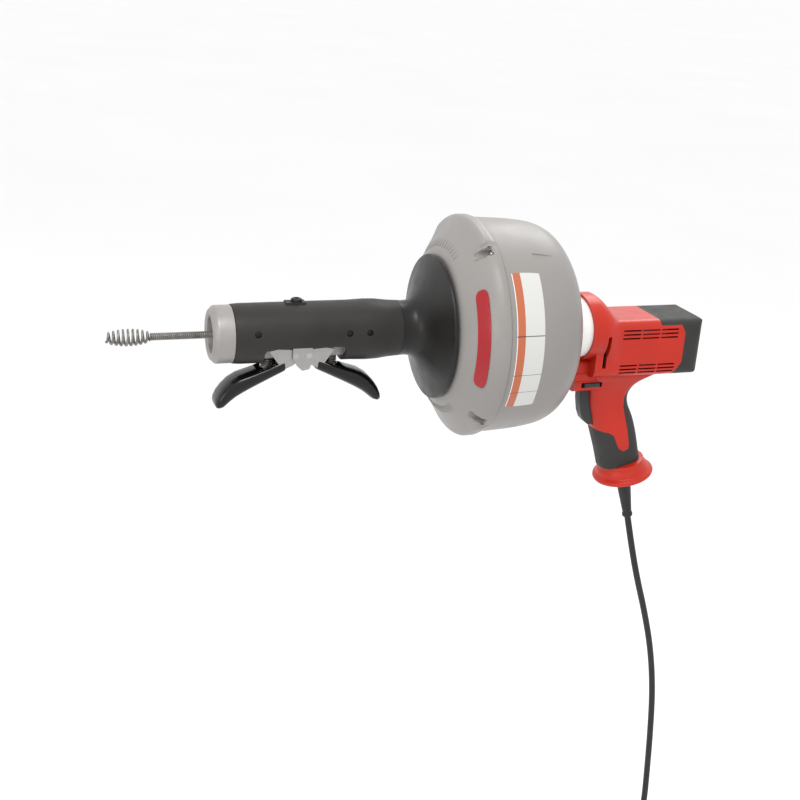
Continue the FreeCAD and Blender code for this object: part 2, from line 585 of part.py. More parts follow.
def shoulder():
    """Smooth solid through rounded sections that turn from an oval into the motor case's shape."""
    wires = []
    for x, top, bottom, half_y, square in SHOULDER:
        middle = (top + bottom) / 2
        half_z = (top - bottom) / 2
        points = []
        for i in range(32):
            c = math.cos(2 * math.pi * i / 32)
            s = math.sin(2 * math.pi * i / 32)
            u = math.copysign(abs(c) ** (2 / square), c)
            w = math.copysign(abs(s) ** (2 / square), s)
            points.append(V(x, half_y * u, middle + half_z * w))
        curve = Part.BSplineCurve()
        curve.interpolate(Points=points, PeriodicFlag=True)
        wires.append(Part.Wire(curve.toShape()))
    return Part.makeLoft(wires, True, False)


# outline of the overmould seen from the side: the lower wrap, the red tongue and the rear strip
OVERMOULD = [(140, -128.5), (172, -129.0), (189, -132.5), (196, -136.5), (200.5, -146), (204.5, -153),
             (210.5, -156.5), (216.5, -154), (217.2, -149), (213.5, -133), (208.5, -117), (203.8, -101),
             (203.4, -89), (207.5, -78.5), (221.5, -67), (246, -59), (275, -59), (275, -210), (140, -210)]
VENT_ROWS = [-3.0, -7.6, -12.1, -44.0, -48.3, -52.6]     # height of each row of air slots
VENT_STARTS = [181.0, 205.0, 229.0]
VENT_LENGTH = 22.0
VENT_HALF = 0.95
NOSE_RIBS = [-56.0, -66.0]     # height of each rib on the block above the trigger


def motor_case():
    """Motor case: its upright back corners are round, and its back edges slope at the top and bottom."""
    case = prism_x(MOTOR_FRONT, CAP_BACK, MOTOR_HALF_Y, MOTOR_BOTTOM, MOTOR_TOP, 11.0)
    plan = Part.Face(rounded_wire(MOTOR_FRONT - 20, CAP_BACK, -MOTOR_HALF_Y, MOTOR_HALF_Y, CAP_ROUND,
                                  lambda u, v: V(u, v, -100)))
    side = [(100, MOTOR_TOP), (CAP_BACK - 4.5, MOTOR_TOP), (CAP_BACK, MOTOR_TOP - 5),
            (CAP_BACK, MOTOR_BOTTOM + 9), (CAP_BACK - 8, MOTOR_BOTTOM), (100, MOTOR_BOTTOM)]
    return case.common(plan.extrude(V(0, 0, 200))).common(slab(side, -60, 60))


def housing():
    case = motor_case()
    collar = oval(140.5, 154.8, CASE_HALF_Y + 3.6, CASE_HALF_Z + 3.6, CASE_Z).fuse(shoulder())
    nose_block = prism_x(NOSE_FRONT, 178.0, NOSE_HALF_Y, NOSE_BOTTOM, -40.0, 7.0)
    for z in NOSE_RIBS:
        nose_block = nose_block.fuse(prism_x(NOSE_FRONT + 1, 172.0, NOSE_HALF_Y + 0.9, z - 0.8, z + 0.8, 0.6))
    outer = case.fuse(collar).fuse(nose_block).fuse(grip_solid(0.0))
    hollow_case = prism_x(MOTOR_FRONT + SHELL, CAP_BACK - 18, MOTOR_HALF_Y - SHELL, MOTOR_BOTTOM + SHELL,
                          MOTOR_TOP - SHELL, 7.0)
    hollow_case = hollow_case.fuse(prism_x(CAP_BACK - 20, CAP_BACK - 3, 24.0, MOTOR_Z - 24, MOTOR_Z + 24, 6.0))
    hollow_collar = oval(136.0, 155.4, CASE_HALF_Y + 0.2, CASE_HALF_Z + 0.2, CASE_Z)
    open_back = oval(137.0, 160.0, CASE_HALF_Y - 6, CASE_HALF_Z - 4, CASE_Z)
    hollow_nose = prism_x(NOSE_FRONT + SHELL, 176.0, NOSE_HALF_Y - SHELL, NOSE_BOTTOM + SHELL, -46.0, 5.0)
    hollow = hollow_case.fuse(hollow_collar).fuse(open_back).fuse(hollow_nose).fuse(grip_solid(SHELL))
    shell = outer.cut(hollow)
    shell = shell.cut(block(140, 176, -8.6, 8.6, -124.8, NOSE_BOTTOM + 0.5))
    shell = shell.cut(block(SLIDE_FRONT - 3.5, SLIDE_BACK + 3.5, -40, 40, SLIDE_Z - 3.2, SLIDE_Z + 3.2))
    for z in VENT_ROWS:
        for x in VENT_STARTS:
            shell = shell.cut(block(x, x + VENT_LENGTH, -50, 50, z - VENT_HALF, z + VENT_HALF))
    shell = shell.cut(block(159.0, 163.5, -60, 60, -46.0, -7.0))

    over = grip_solid(0.0).cut(grip_solid(1.6))
    over = over.common(slab(OVERMOULD, -40, 40))
    over = over.cut(case)
    shell = shell.cut(over)
    cap = cap_region()
    rear_cap = outer.cut(hollow).common(cap)
    body = shell.cut(cap)
    save("housing_left", body.common(block(100, 330, -60, 0, -200, 60)).removeSplitter())
    right = body.common(block(100, 330, 0, 60, -200, 60))
    screws = []
    for x, y, z in HOUSING_SCREWS:
        right = right.cut(Part.makeCylinder(3.6, 10, V(x, y - 1.6, z), Y_AXIS))
        right = right.cut(Part.makeCylinder(1.9, 30, V(x, y - 20, z), Y_AXIS))
        screws.append(button_screw(V(x, y - 1.6, z), Y_AXIS, 3.3, 1.5, 1.8, 6))
    save("housing_right", right.removeSplitter())
    save("housing_screws", group(screws))
    seat = ring(REAR_BEARING_X, CAP_BACK - 2, 11.0, 15.0, 0, MOTOR_Z)
    arms = block(REAR_BEARING_X, REAR_BEARING_X + 4, -30.0, 30.0, MOTOR_Z - 6, MOTOR_Z + 6)
    arms = arms.cut(rod(REAR_BEARING_X - 4, REAR_BEARING_X + 8, 11.0, 0, MOTOR_Z))
    save("rear_cap", rear_cap.fuse([seat, arms]).removeSplitter())
    save("grip_overmould", over.removeSplitter())


def controls():
    top = NOSE_BOTTOM - 1
    trigger = [(151.3, top), (152.2, -94.0), (155.0, -109.0), (158.5, -117.5), (165.0, -123.8), (176.0, -123.8),
               (176.0, top)]
    body = slab(trigger, -8.0, 8.0)
    front = [e for e in body.Edges if e.CenterOfMass.x < 161 and abs(abs(e.CenterOfMass.y) - 8.0) < 0.01]
    save("trigger", body.makeFillet(2.5, front))
    switch = block(185.0, 206.0, -9.0, 9.0, -122.0, -88.0)
    save("switch_body", switch)
    save("reverse_slide", block(SLIDE_FRONT, SLIDE_BACK, -24.0, 24.0, SLIDE_Z - 2.6, SLIDE_Z + 2.6))


def in_grip_frame(shape):
    """Lean a piece drawn upright about the flange's centre by the grip's tilt."""
    shape.rotate(V(FLANGE_X, 0, FLANGE_Z), Y_AXIS, -GRIP_TILT)
    return shape


def turned_z(profile, x):
    """Closed (r, z) profile turned about an upright axis at x."""
    points = [V(x + r, 0, z) for r, z in profile]
    face = Part.Face(Part.makePolygon(points + [points[0]]))
    return face.revolve(V(x, 0, 0), Z_AXIS, 360)


def grip_base():
    z = FLANGE_Z
    flare = [(8.2, z - 4), (FLANGE_R - 6, z - 4), (FLANGE_R - 1, z - 3), (FLANGE_R, z - 0.5), (FLANGE_R - 0.6, z + 1.6),
             (FLANGE_R - 5, z + 4.2), (30.0, z + 8.0), (27.4, z + 12.0), (26.4, z + NECK_TOP), (8.2, z + NECK_TOP)]
    save("grip_flange", in_grip_frame(turned_z(flare, FLANGE_X)))


def strain_relief():
    z = FLANGE_Z
    low = z - STRAIN_LENGTH
    sleeve = [(0.0, low), (6.3, low), (6.3, low + 3.5), (5.4, low + 4.5), (9.4, z - 4.4), (11.0, z - 4.4),
              (11.0, z - 4.0), (7.9, z - 4.0), (7.9, z + 4), (0.0, z + 4)]
    save("strain_relief", in_grip_frame(turned_z(sleeve, FLANGE_X)))


# ---- mains cord ----

LEAN = math.radians(GRIP_TILT)
CORD_START = V(FLANGE_X + STRAIN_LENGTH * math.sin(LEAN), 0, FLANGE_Z - STRAIN_LENGTH * math.cos(LEAN))
COIL_X = 278.5            # centre of the stored cord's ring
COIL_Z = -748.0
CORD_ROUTE = [CORD_START, V(250.8, 0, -291.0), V(265.5, 0, -338.5), V(284.5, 0, -391.0), V(301.5, 0, -447.0),
              V(313.5, 0, -508.0), V(320.0, 0, -572.0), V(COIL_X + COIL_MID_R - 0.2, -3, -630.0),
              V(COIL_X + COIL_MID_R + 0.2, -8, -690.0),
              V(COIL_X + COIL_MID_R + 0.4, -8, COIL_Z)]
PLUG_TOP = V(331.0, 9, COIL_Z - 52.0)
TAIL_ROUTE = [V(COIL_X + COIL_MID_R + CORD_R, 0, COIL_Z), V(328.8, 4, COIL_Z - 26.0), PLUG_TOP]


def tube_along(route, radius):
    """Straight runs joined by tangent arcs, each as large as its two runs allow."""
    edges = []
    radii = []
    here = route[0]
    for i in range(1, len(route) - 1):
        before = route[i] - route[i - 1]
        after = route[i + 1] - route[i]
        turn = before.getAngle(after)
        reach = 0.45 * min(before.Length, after.Length)
        radii.append(reach / math.tan(turn / 2))
        unit_in = V(before).normalize()
        unit_out = V(after).normalize()
        first = route[i] - unit_in * reach
        last = route[i] + unit_out * reach
        inward = (unit_out - unit_in).normalize()
        centre = route[i] + inward * (radii[-1] / math.cos(turn / 2))
        middle = centre - inward * radii[-1]
        edges.append(Part.LineSegment(here, first).toShape())
        edges.append(Part.Arc(first, middle, last).toShape())
        here = last
    edges.append(Part.LineSegment(here, route[-1]).toShape())
    path = Part.Wire(edges)
    section = Part.Wire(Part.makeCircle(radius, route[0], route[1] - route[0]))
    solid = path.makePipeShell([section], True, False)
    print("cord arcs, mm:", [round(r, 1) for r in radii])
    print("tube volume over section times length:", solid.Volume / (math.pi * radius ** 2 * path.Length))
    print("tube length, mm:", round(path.Length, 1))
    return solid


def cord():
    save("cord", group([tube_along(CORD_ROUTE, CORD_R), tube_along(TAIL_ROUTE, CORD_R)]))
    wire = rounded_wire(COIL_MID_R - COIL_HALF_R, COIL_MID_R + COIL_HALF_R, -COIL_HALF_Y, COIL_HALF_Y, 5.0,
                        lambda u, v: V(COIL_X + u, v, COIL_Z))
    save("cord_coil", Part.Face(wire).revolve(V(COIL_X, 0, COIL_Z), Y_AXIS, 360))
    top = PLUG_TOP.z
    body = [(0.0, top), (5.6, top), (7.5, top - 14), (12.5, top - 20), (13.0, top - 38), (12.0, top - 40),
            (0.0, top - 40)]
    plug = turned_z(body, PLUG_TOP.x)
    plug.translate(V(0, PLUG_TOP.y, 0))
    save("plug", plug)
    blades = []
    for side in (-1, 1):
        x0 = PLUG_TOP.x + side * 6.35
        blades.append(block(x0 - 0.75, x0 + 0.75, PLUG_TOP.y - 3.2, PLUG_TOP.y + 3.2, top - 57, top - 40))
    save("plug_blades", group(blades))


for build in (nose, barrel, feed_rollers, levers, cone, drum, drum_inside, cable, gear_train, motor,
              housing, controls, grip_base, strain_relief, cord):
    build()
plunger("front", FRONT_FEED_X, ROLLER_SKEW)
plunger("rear", REAR_FEED_X, -ROLLER_SKEW)
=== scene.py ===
"""Looks of a hand-held drain snake machine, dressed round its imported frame.

Places are given in the machine's own millimetres: X runs along the drum axis from the nose to the
motor, X = 0 is the drum's rim plane and Z = 0 the drum axis. place() turns them to the frame's metres.
"""
import json
import logging
import math
from dataclasses import dataclass
from enum import Enum
from typing import Callable, Iterable, Sequence

import bmesh
import bpy
from bmesh.types import BMesh, BMVert
from bpy.types import Mesh, Node, NodeSocket, Object
from mathutils import Matrix, Vector


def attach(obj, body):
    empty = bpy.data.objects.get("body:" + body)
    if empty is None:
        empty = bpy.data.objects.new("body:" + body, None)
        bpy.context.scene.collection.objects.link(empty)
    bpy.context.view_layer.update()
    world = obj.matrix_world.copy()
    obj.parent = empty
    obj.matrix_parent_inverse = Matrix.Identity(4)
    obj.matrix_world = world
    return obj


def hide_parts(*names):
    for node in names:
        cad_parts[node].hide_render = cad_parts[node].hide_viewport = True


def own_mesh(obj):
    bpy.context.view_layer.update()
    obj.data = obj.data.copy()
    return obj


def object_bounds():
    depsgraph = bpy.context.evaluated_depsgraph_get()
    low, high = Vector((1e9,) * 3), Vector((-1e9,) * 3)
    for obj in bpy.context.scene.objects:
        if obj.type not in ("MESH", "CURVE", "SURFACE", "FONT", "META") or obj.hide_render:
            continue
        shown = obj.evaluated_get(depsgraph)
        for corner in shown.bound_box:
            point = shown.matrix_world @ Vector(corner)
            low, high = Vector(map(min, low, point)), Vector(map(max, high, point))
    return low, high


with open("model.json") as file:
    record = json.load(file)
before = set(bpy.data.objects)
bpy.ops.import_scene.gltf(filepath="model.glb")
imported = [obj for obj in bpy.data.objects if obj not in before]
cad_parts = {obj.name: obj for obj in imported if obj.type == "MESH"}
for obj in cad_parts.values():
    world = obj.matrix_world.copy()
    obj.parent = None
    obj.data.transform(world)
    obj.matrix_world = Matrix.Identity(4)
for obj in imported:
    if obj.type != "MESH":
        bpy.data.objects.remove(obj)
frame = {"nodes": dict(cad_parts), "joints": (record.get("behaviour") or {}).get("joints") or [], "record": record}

LOG = logging.getLogger("drain_snake")
MM = 0.001
COAT_ROUGHNESS = 0.12
GLOSS_PATCH = 3.1            # patches of gloss for each patch of colour
BUMP_STRENGTH = 0.6
STREAKS = (0.03, 1.0, 1.0)   # how a brushed finish stretches its noise
NOISE_RANGE = (0.3, 0.7)     # where nearly all of a noise's values lie
PLAIN_SHARP = 28.0           # smallest turn that stays sharp on a piece with no rounded edges, degrees
ROUNDED_SHARP = 40.0         # the same on a piece with rounded edges
AXIS = Vector(next(j["pos_m"] for j in frame["joints"] if j["name"] == "drum_spin"))
CAD_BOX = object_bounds()
Colour = tuple[float, float, float]
Profile = Sequence[tuple[float, float]]


def place(x: float, y: float, z: float) -> Vector:
    """Point of the frame, in metres, from machine millimetres."""
    return AXIS + Vector((x, y, z)) * MM


def eased(share: float) -> float:
    """Smooth step from 0 to 1."""
    t = min(max(share, 0.0), 1.0)
    return t * t * (3 - 2 * t)


def around(x: float, r: float, degrees: float) -> Vector:
    """Point at a radius round the drum axis; degrees run from the top towards the near side, -Y."""
    a = math.radians(degrees)
    return place(x, -r * math.sin(a), r * math.cos(a))


def rounded_square(turn: float, power: float) -> tuple[float, float]:
    """Point of a unit square with round corners.

    Args:
        turn: angle round it, radians.
        power: 2 for a circle, more for a squarer shape.

    Returns:
        Its two coordinates.
    """
    first, second = (math.copysign(abs(f) ** (2 / power), f) for f in (math.cos(turn), math.sin(turn)))
    return first, second


# ---- finishes ----

class Pattern(Enum):
    """What the fine relief of a finish looks like."""

    GRAIN = "even moulded grain"
    CAST = "cast skin with shallow pits"
    BRUSHED = "long fine streaks along X"
    WIPED = "almost smooth, with soft smears"


class NodeTree:
    """Adds nodes to a tree and joins them."""

    def __init__(self, tree: bpy.types.NodeTree) -> None:
        """Keep the tree that the nodes go to."""
        self.tree = tree

    def add(self, kind: str, links: dict | None = None, **settings) -> Node:
        """Add one node.

        Args:
            kind: the node's type name.
            links: for each input, by name or index, an output socket or a plain value.
            settings: properties of the node.

        Returns:
            The new node.
        """
        node = self.tree.nodes.new(kind)
        for key, value in settings.items():
            setattr(node, key, value)
        for key, value in (links or {}).items():
            if isinstance(value, NodeSocket):
                self.join(value, node.inputs[key])
            else:
                node.inputs[key].default_value = value
        return node

    def join(self, source: NodeSocket, target: NodeSocket) -> None:
        """Link an output to an input."""
        self.tree.links.new(source, target)


class Shader(NodeTree):
    """Node tree of one material."""

    def __init__(self, name: str) -> None:
        """Start an empty node material of that name."""
        self.material = bpy.data.materials.new(name)
        self.material.use_nodes = True
        super().__init__(self.material.node_tree)
        self.body = self.tree.nodes["Principled BSDF"]

    def noise(self, vector: NodeSocket, scale: float, detail: float = 3.0) -> NodeSocket:
        """Noise value over a vector.

        Args:
            vector: coordinates to read.
            scale: how many features there are in a metre.
            detail: octaves of finer noise.

        Returns:
            The noise's value socket.
        """
        node = self.add("ShaderNodeTexNoise", {"Vector": vector, "Scale": scale, "Detail": detail})
        return node.outputs["Fac"]

    def ramp(self, value: NodeSocket, stops: Sequence[tuple[float, Colour]],
             step: bool = False) -> NodeSocket:
        """Colour ramp on a value.

        Args:
            value: what the ramp reads.
            stops: position and colour of each stop.
            step: True for hard steps between the colours.

        Returns:
            The ramp's colour socket.
        """
        node = self.add("ShaderNodeValToRGB", {"Fac": value})
        node.color_ramp.interpolation = "CONSTANT" if step else "LINEAR"
        while len(node.color_ramp.elements) < len(stops):
            node.color_ramp.elements.new(1.0)
        for element, (position, colour) in zip(node.color_ramp.elements, stops):
            element.position = position
            element.color = (*colour, 1.0)
        return node.outputs["Color"]

    def spread(self, value: NodeSocket, low: float, high: float) -> NodeSocket:
        """Map a noise value's middle range to low..high."""
        least, most = NOISE_RANGE
        values = {"Value": value, "From Min": least, "From Max": most, "To Min": low, "To Max": high}
        return self.add("ShaderNodeMapRange", values).outputs["Result"]


@dataclass(frozen=True)
class Finish:
    """One finish of the machine: colour, gloss and the fine relief that goes with it."""

    name: str
    colour: Colour
    roughness: float
    metallic: float = 0.0
    pattern: Pattern = Pattern.GRAIN
    shade: float = 0.1         # how far the colour wanders, as a share of it
    patch: float = 22.0        # soft patches in a metre
    fine: float = 1500.0       # fine features in a metre
    relief: float = 0.05       # depth of the fine relief, mm
    gloss_wander: float = 0.06
    coat: float = 0.0
    specular: float = 0.5

    def tone(self, factor: float) -> Colour:
        """The finish's colour, lighter or darker by a factor."""
        return tuple(min(1.0, c * factor) for c in self.colour)

    def colours(self, shader: Shader, vector: NodeSocket) -> NodeSocket:
        """Colour of the surface, before light.

        Args:
            shader: the material being made.
            vector: the piece's coordinates.

        Returns:
            A colour socket.
        """
        patches = shader.noise(vector, self.patch, 4.0)
        tones = (self.tone(1 - self.shade), self.tone(1 + self.shade))
        return shader.ramp(patches, list(zip(NOISE_RANGE, tones)))

    def heights(self, shader: Shader, vector: NodeSocket) -> NodeSocket:
        """Fine relief of the surface.

        Args:
            shader: the material being made.
            vector: the piece's coordinates.

        Returns:
            A height socket.
        """
        if self.pattern is Pattern.CAST:
            values = {"Vector": vector, "Scale": self.fine, "Randomness": 1.0}
            return shader.add("ShaderNodeTexVoronoi", values, feature="SMOOTH_F1").outputs["Distance"]
        if self.pattern is Pattern.BRUSHED:
            stretch = shader.add("ShaderNodeMapping", {"Vector": vector, "Scale": STREAKS})
            return shader.noise(stretch.outputs["Vector"], self.fine, 2.0)
        return shader.noise(vector, self.fine, 2.0 if self.pattern is Pattern.GRAIN else 0.0)

    def material(self) -> bpy.types.Material:
        """Build the material once and give it again after that.

        Returns:
            The material of this finish.
        """
        known = bpy.data.materials.get(self.name)
        if known is not None:
            return known
        shader = Shader(self.name)
        vector = shader.add("ShaderNodeTexCoord").outputs["Object"]
        body = shader.body
        body.inputs["Metallic"].default_value = self.metallic
        body.inputs["Coat Weight"].default_value = self.coat
        body.inputs["Coat Roughness"].default_value = COAT_ROUGHNESS
        body.inputs["Specular IOR Level"].default_value = self.specular
        shader.join(self.colours(shader, vector), body.inputs["Base Color"])
        gloss = shader.noise(vector, self.patch * GLOSS_PATCH, 5.0)
        rough = shader.spread(gloss, self.roughness - self.gloss_wander, self.roughness + self.gloss_wander)
        shader.join(rough, body.inputs["Roughness"])
        bump = shader.add("ShaderNodeBump", {"Strength": BUMP_STRENGTH, "Distance": self.relief * MM})
        shader.join(self.heights(shader, vector), bump.inputs["Height"])
        shader.join(bump.outputs["Normal"], body.inputs["Normal"])
        return shader.material


@dataclass(frozen=True)
class LabelFinish(Finish):
    """Blank printed label: white panels with thin rules and a warm stripe along one side, by UV."""

    stripe: Colour = (0.42, 0.11, 0.045)
    stripe_width: float = 0.3
    margin: float = 0.03
    rules: tuple[float, ...] = (0.44, 0.72, 0.86)
    rule_width: float = 0.006

    def colours(self, shader: Shader, vector: NodeSocket) -> NodeSocket:
        """Stripe and panels by the label's own UV map; see Finish.colours."""
        uv = shader.add("ShaderNodeTexCoord").outputs["UV"]
        parts = shader.add("ShaderNodeSeparateXYZ", {"Vector": uv})
        clear, edge, ink = ((v, v, v) for v in (1.0, 0.7, 0.25))
        bands = [(0.0, edge), (self.margin, self.stripe), (self.stripe_width, self.colour)]
        across = shader.ramp(parts.outputs["Y"], bands, step=True)
        stops: list[tuple[float, Colour]] = [(0.0, clear)]
        for rule in self.rules:
            stops += [(rule, ink), (rule + self.rule_width, clear)]
        along = shader.ramp(parts.outputs["X"], stops, step=True)
        both = {0: 1.0, 6: across, 7: along}
        return shader.add("ShaderNodeMix", both, data_type="RGBA", blend_type="MULTIPLY").outputs[2]


RED = Finish("red_moulding", (0.44, 0.017, 0.006), 0.36, shade=0.06, relief=0.03, coat=0.04, specular=0.3)
DARK_RUBBER = Finish("dark_overmould", (0.030, 0.029, 0.028), 0.60, shade=0.12, relief=0.08, fine=1100.0,
                     specular=0.25)
BARREL = Finish("barrel_moulding", (0.021, 0.0185, 0.017), 0.50, shade=0.18, relief=0.07, fine=1300.0,
                specular=0.25)
CONE = Finish("cone_moulding", (0.0095, 0.0085, 0.008), 0.38, shade=0.18, relief=0.06, fine=1200.0,
              specular=0.3)
DRUM = Finish("drum_moulding", (0.235, 0.222, 0.211), 0.40, shade=0.05, patch=9.0, relief=0.03, specular=0.35)
CAST = Finish("cast_alloy", (0.275, 0.26, 0.25), 0.46, 0.3, Pattern.CAST, 0.08, 40.0, 700.0, 0.10)
WHITE = Finish("white_case", (0.62, 0.64, 0.625), 0.34, shade=0.03, relief=0.02)
VINYL = Finish("dipped_vinyl", (0.0035, 0.0035, 0.0035), 0.18, 0.0, Pattern.WIPED, 0.2, 60.0, 120.0, 0.05,
               0.04, specular=0.35)
ZINC = Finish("zinc_plate", (0.37, 0.36, 0.35), 0.30, 0.85, Pattern.WIPED, 0.06, 60.0, 300.0, 0.01, 0.04)
STEEL = Finish("machined_steel", (0.46, 0.45, 0.44), 0.28, 1.0, Pattern.BRUSHED, 0.10, 80.0, 3000.0, 0.012)
WIRE = Finish("drain_wire", (0.20, 0.19, 0.18), 0.34, 0.9, Pattern.CAST, 0.30, 160.0, 1500.0, 0.02, 0.10)
BLACK_OXIDE = Finish("black_oxide", (0.016, 0.016, 0.017), 0.40, 0.5, Pattern.CAST, 0.2, 200.0, 2500.0, 0.02,
                     specular=0.3)
CORD = Finish("cord_sheath", (0.016, 0.015, 0.014), 0.46, shade=0.2, patch=60.0, relief=0.03, fine=2500.0,
              specular=0.3)
CONTROL = Finish("control_moulding", (0.034, 0.034, 0.036), 0.44, shade=0.1, relief=0.05, fine=1400.0,
                 specular=0.3)
COPPER = Finish("copper_bars", (0.72, 0.36, 0.20), 0.32, 1.0, Pattern.BRUSHED, 0.1, 90.0, 2500.0, 0.02)
BRASS = Finish("bright_brass", (0.75, 0.58, 0.28), 0.28, 1.0, Pattern.BRUSHED, 0.08, 90.0, 2500.0, 0.02)
NYLON = Finish("natural_nylon", (0.62, 0.59, 0.53), 0.45, shade=0.06, relief=0.04)
IRON = Finish("core_plates", (0.22, 0.21, 0.21), 0.5, 0.8, Pattern.BRUSHED, 0.15, 90.0, 2200.0, 0.04)
BADGE = Finish("badge_enamel", (0.29, 0.004, 0.009), 0.26, 0.0, Pattern.WIPED, 0.05, 40.0, 300.0, 0.01, 0.04,
               0.2, 0.35)
LABEL = LabelFinish("label_print", (0.53, 0.53, 0.515), 0.34, 0.0, Pattern.WIPED, 0.03, 40.0, 300.0, 0.01)
PALE = Finish("pale_floor", (0.86, 0.86, 0.86), 0.7, shade=0.01, patch=1.0, relief=0.02)

SLOT_FINISH: dict[str, Finish] = {
    "alloy": CAST, "black_barrel": BARREL, "cone_plastic": CONE, "grey_drum": DRUM, "white_case": WHITE,
    "red_plastic": RED, "dark_rubber": DARK_RUBBER, "control_plastic": CONTROL, "vinyl_grip": VINYL,
    "zinc_steel": ZINC, "steel": STEEL, "spring_steel": WIRE, "black_screws": BLACK_OXIDE,
    "cord_rubber": CORD, "copper": COPPER, "brass": BRASS, "nylon": NYLON, "core_iron": IRON,
}


# ---- making pieces ----

def linked(name: str, data: bpy.types.ID) -> Object:
    """New object in the scene."""
    piece = bpy.data.objects.new(name, data)
    bpy.context.scene.collection.objects.link(piece)
    return piece


def finish_object(piece: Object, finish: Finish) -> Object:
    """Give a piece one finish and nothing else.

    Args:
        piece: mesh or curve object.
        finish: its finish.

    Returns:
        The same piece.
    """
    piece.data.materials.clear()
    piece.data.materials.append(finish.material())
    return piece


def mesh_piece(name: str, mesh: Mesh, finish: Finish, body: str,
               nodes: Iterable[str] = ()) -> Object:
    """Put a finished mesh in the scene and tie it to its body.

    Args:
        name: the piece's name.
        mesh: its mesh, already in place.
        finish: its finish.
        body: body of the frame that it rides on.
        nodes: nodes of the frame that it stands for.

    Returns:
        The new piece.
    """
    piece = finish_object(linked(name, mesh), finish)
    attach(piece, body)
    if nodes:
        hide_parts(*nodes)
    LOG.info("%s: %d faces on %s", name, len(getattr(mesh, "polygons", ())), body)
    return piece


def body_of(node: str) -> str:
    """Name of the body that carries a node."""
    bodies = frame["record"]["behaviour"]["bodies"]
    return next(body for body, nodes in bodies.items() if node in nodes)


def slot_of(node: str) -> str:
    """Material slot of a node."""
    return next(s["material_slot"] for s in frame["record"]["subparts"] if s["node"] == node)


def finish_of(node: str) -> Finish:
    """Finish of a node."""
    return SLOT_FINISH[slot_of(node)]


def stand_in(name: str, mesh: Mesh, node: str) -> Object:
    """Piece that shows one node, with that node's finish, body and slot."""
    return mesh_piece(name, mesh, finish_of(node), body_of(node), [node])


def baked(piece: Object) -> Mesh:
    """Apply every modifier of a helper object and remove the object.

    Args:
        piece: a helper that rides on nothing yet.

    Returns:
        Its final mesh.
    """
    view = bpy.context.evaluated_depsgraph_get()
    mesh = bpy.data.meshes.new_from_object(piece.evaluated_get(view), depsgraph=view)
    bpy.data.objects.remove(piece)
    return mesh


def merged_copy(node: str) -> Mesh:
    """Copy of a node's mesh with its corners joined and its flat faces whole.

    Args:
        node: name of the node.

    Returns:
        The copy.
    """
    mesh = frame["nodes"][node].data.copy()
    mesh.materials.clear()
    shape = bmesh.new()
    shape.from_mesh(mesh)
    bmesh.ops.remove_doubles(shape, verts=shape.verts, dist=1e-6)
    bmesh.ops.dissolve_limit(shape, angle_limit=math.radians(0.4), verts=shape.verts, edges=shape.edges)
    shape.to_mesh(mesh)
    shape.free()
    for name in [a.name for a in mesh.attributes if a.name.startswith("custom_normal")]:
        mesh.attributes.remove(mesh.attributes[name])
    return mesh


def softened(node: str, width: float = 0.0, segments: int = 2, angle: float = 32.0) -> Object:
    """Piece with a node's own shape, its sharp edges rounded or left as they are.

    Args:
        node: name of the node that the piece stands for.
        width: width of the rounding, mm; 0 leaves the edges as they are.
        segments: facets of the rounding.
        angle: smallest turn, in degrees, that counts as an edge.

    Returns:
        The piece.
    """
    mesh = merged_copy(node)
    if width:
        mesh = bevelled(mesh, width, segments, angle)
    else:
        smooth(mesh, PLAIN_SHARP)
    return stand_in(node + "_moulded", mesh, node)


def smooth(mesh: Mesh, degrees: float) -> None:
    """Shade a mesh smooth, except across edges sharper than the angle."""
    mesh.shade_smooth()
    mesh.set_sharp_from_angle(angle=math.radians(degrees))


def flowing(points: Profile, steps: int) -> list[tuple[float, float]]:
    """Smooth line through the points of a profile.

    Args:
        points: (x, r) points.
        steps: new points between two of them.

    Returns:
        The finer list.
    """
    out: list[tuple[float, float]] = []
    last = len(points) - 1
    for i in range(last):
        quad = [Vector(points[min(max(k, 0), last)]) for k in (i - 1, i, i + 1, i + 2)]
        for s in range(steps):
            t = s / steps
            point = 0.5 * (2 * quad[1] + (quad[2] - quad[0]) * t
                           + (2 * quad[0] - 5 * quad[1] + 4 * quad[2] - quad[3]) * t ** 2
                           + (3 * quad[1] - quad[0] - 3 * quad[2] + quad[3]) * t ** 3)
            out.append((point.x, point.y))
    out.append(tuple(points[last]))
    return out


def skinned(built: BMesh, rings: Sequence[Sequence[BMVert]]) -> None:
    """Join each closed ring of corners to the next one."""
    count = len(rings[0])
    for a, b in zip(rings, rings[1:]):
        for i in range(count):
            built.faces.new((a[i], a[(i + 1) % count], b[(i + 1) % count], b[i]))


def turned(profile: Profile, segments: int,
           shape: Callable[[float, float, float], tuple[float, float]] | None = None) -> Mesh:
    """Closed (x, r) profile turned about the drum axis.

    Args:
        profile: outline in mm, round the section.
        segments: steps round the axis.
        shape: gives the new (x, r) of a point at an angle in degrees.

    Returns:
        A closed mesh with its faces outwards.
    """
    built = bmesh.new()
    rings = []
    for s in range(segments):
        degrees = 360.0 * s / segments
        rings.append([built.verts.new(around(*(shape(x, r, degrees) if shape else (x, r)), degrees))
                      for x, r in profile])
    skinned(built, [*rings, rings[0]])
    return closed(built)


def closed(built: BMesh) -> Mesh:
    """Turn a finished bmesh to a mesh, doubles merged and faces outwards."""
    bmesh.ops.remove_doubles(built, verts=built.verts, dist=1e-7)
    bmesh.ops.recalc_face_normals(built, faces=built.faces)
    mesh = bpy.data.meshes.new("made")
    built.to_mesh(mesh)
    built.free()
    return mesh


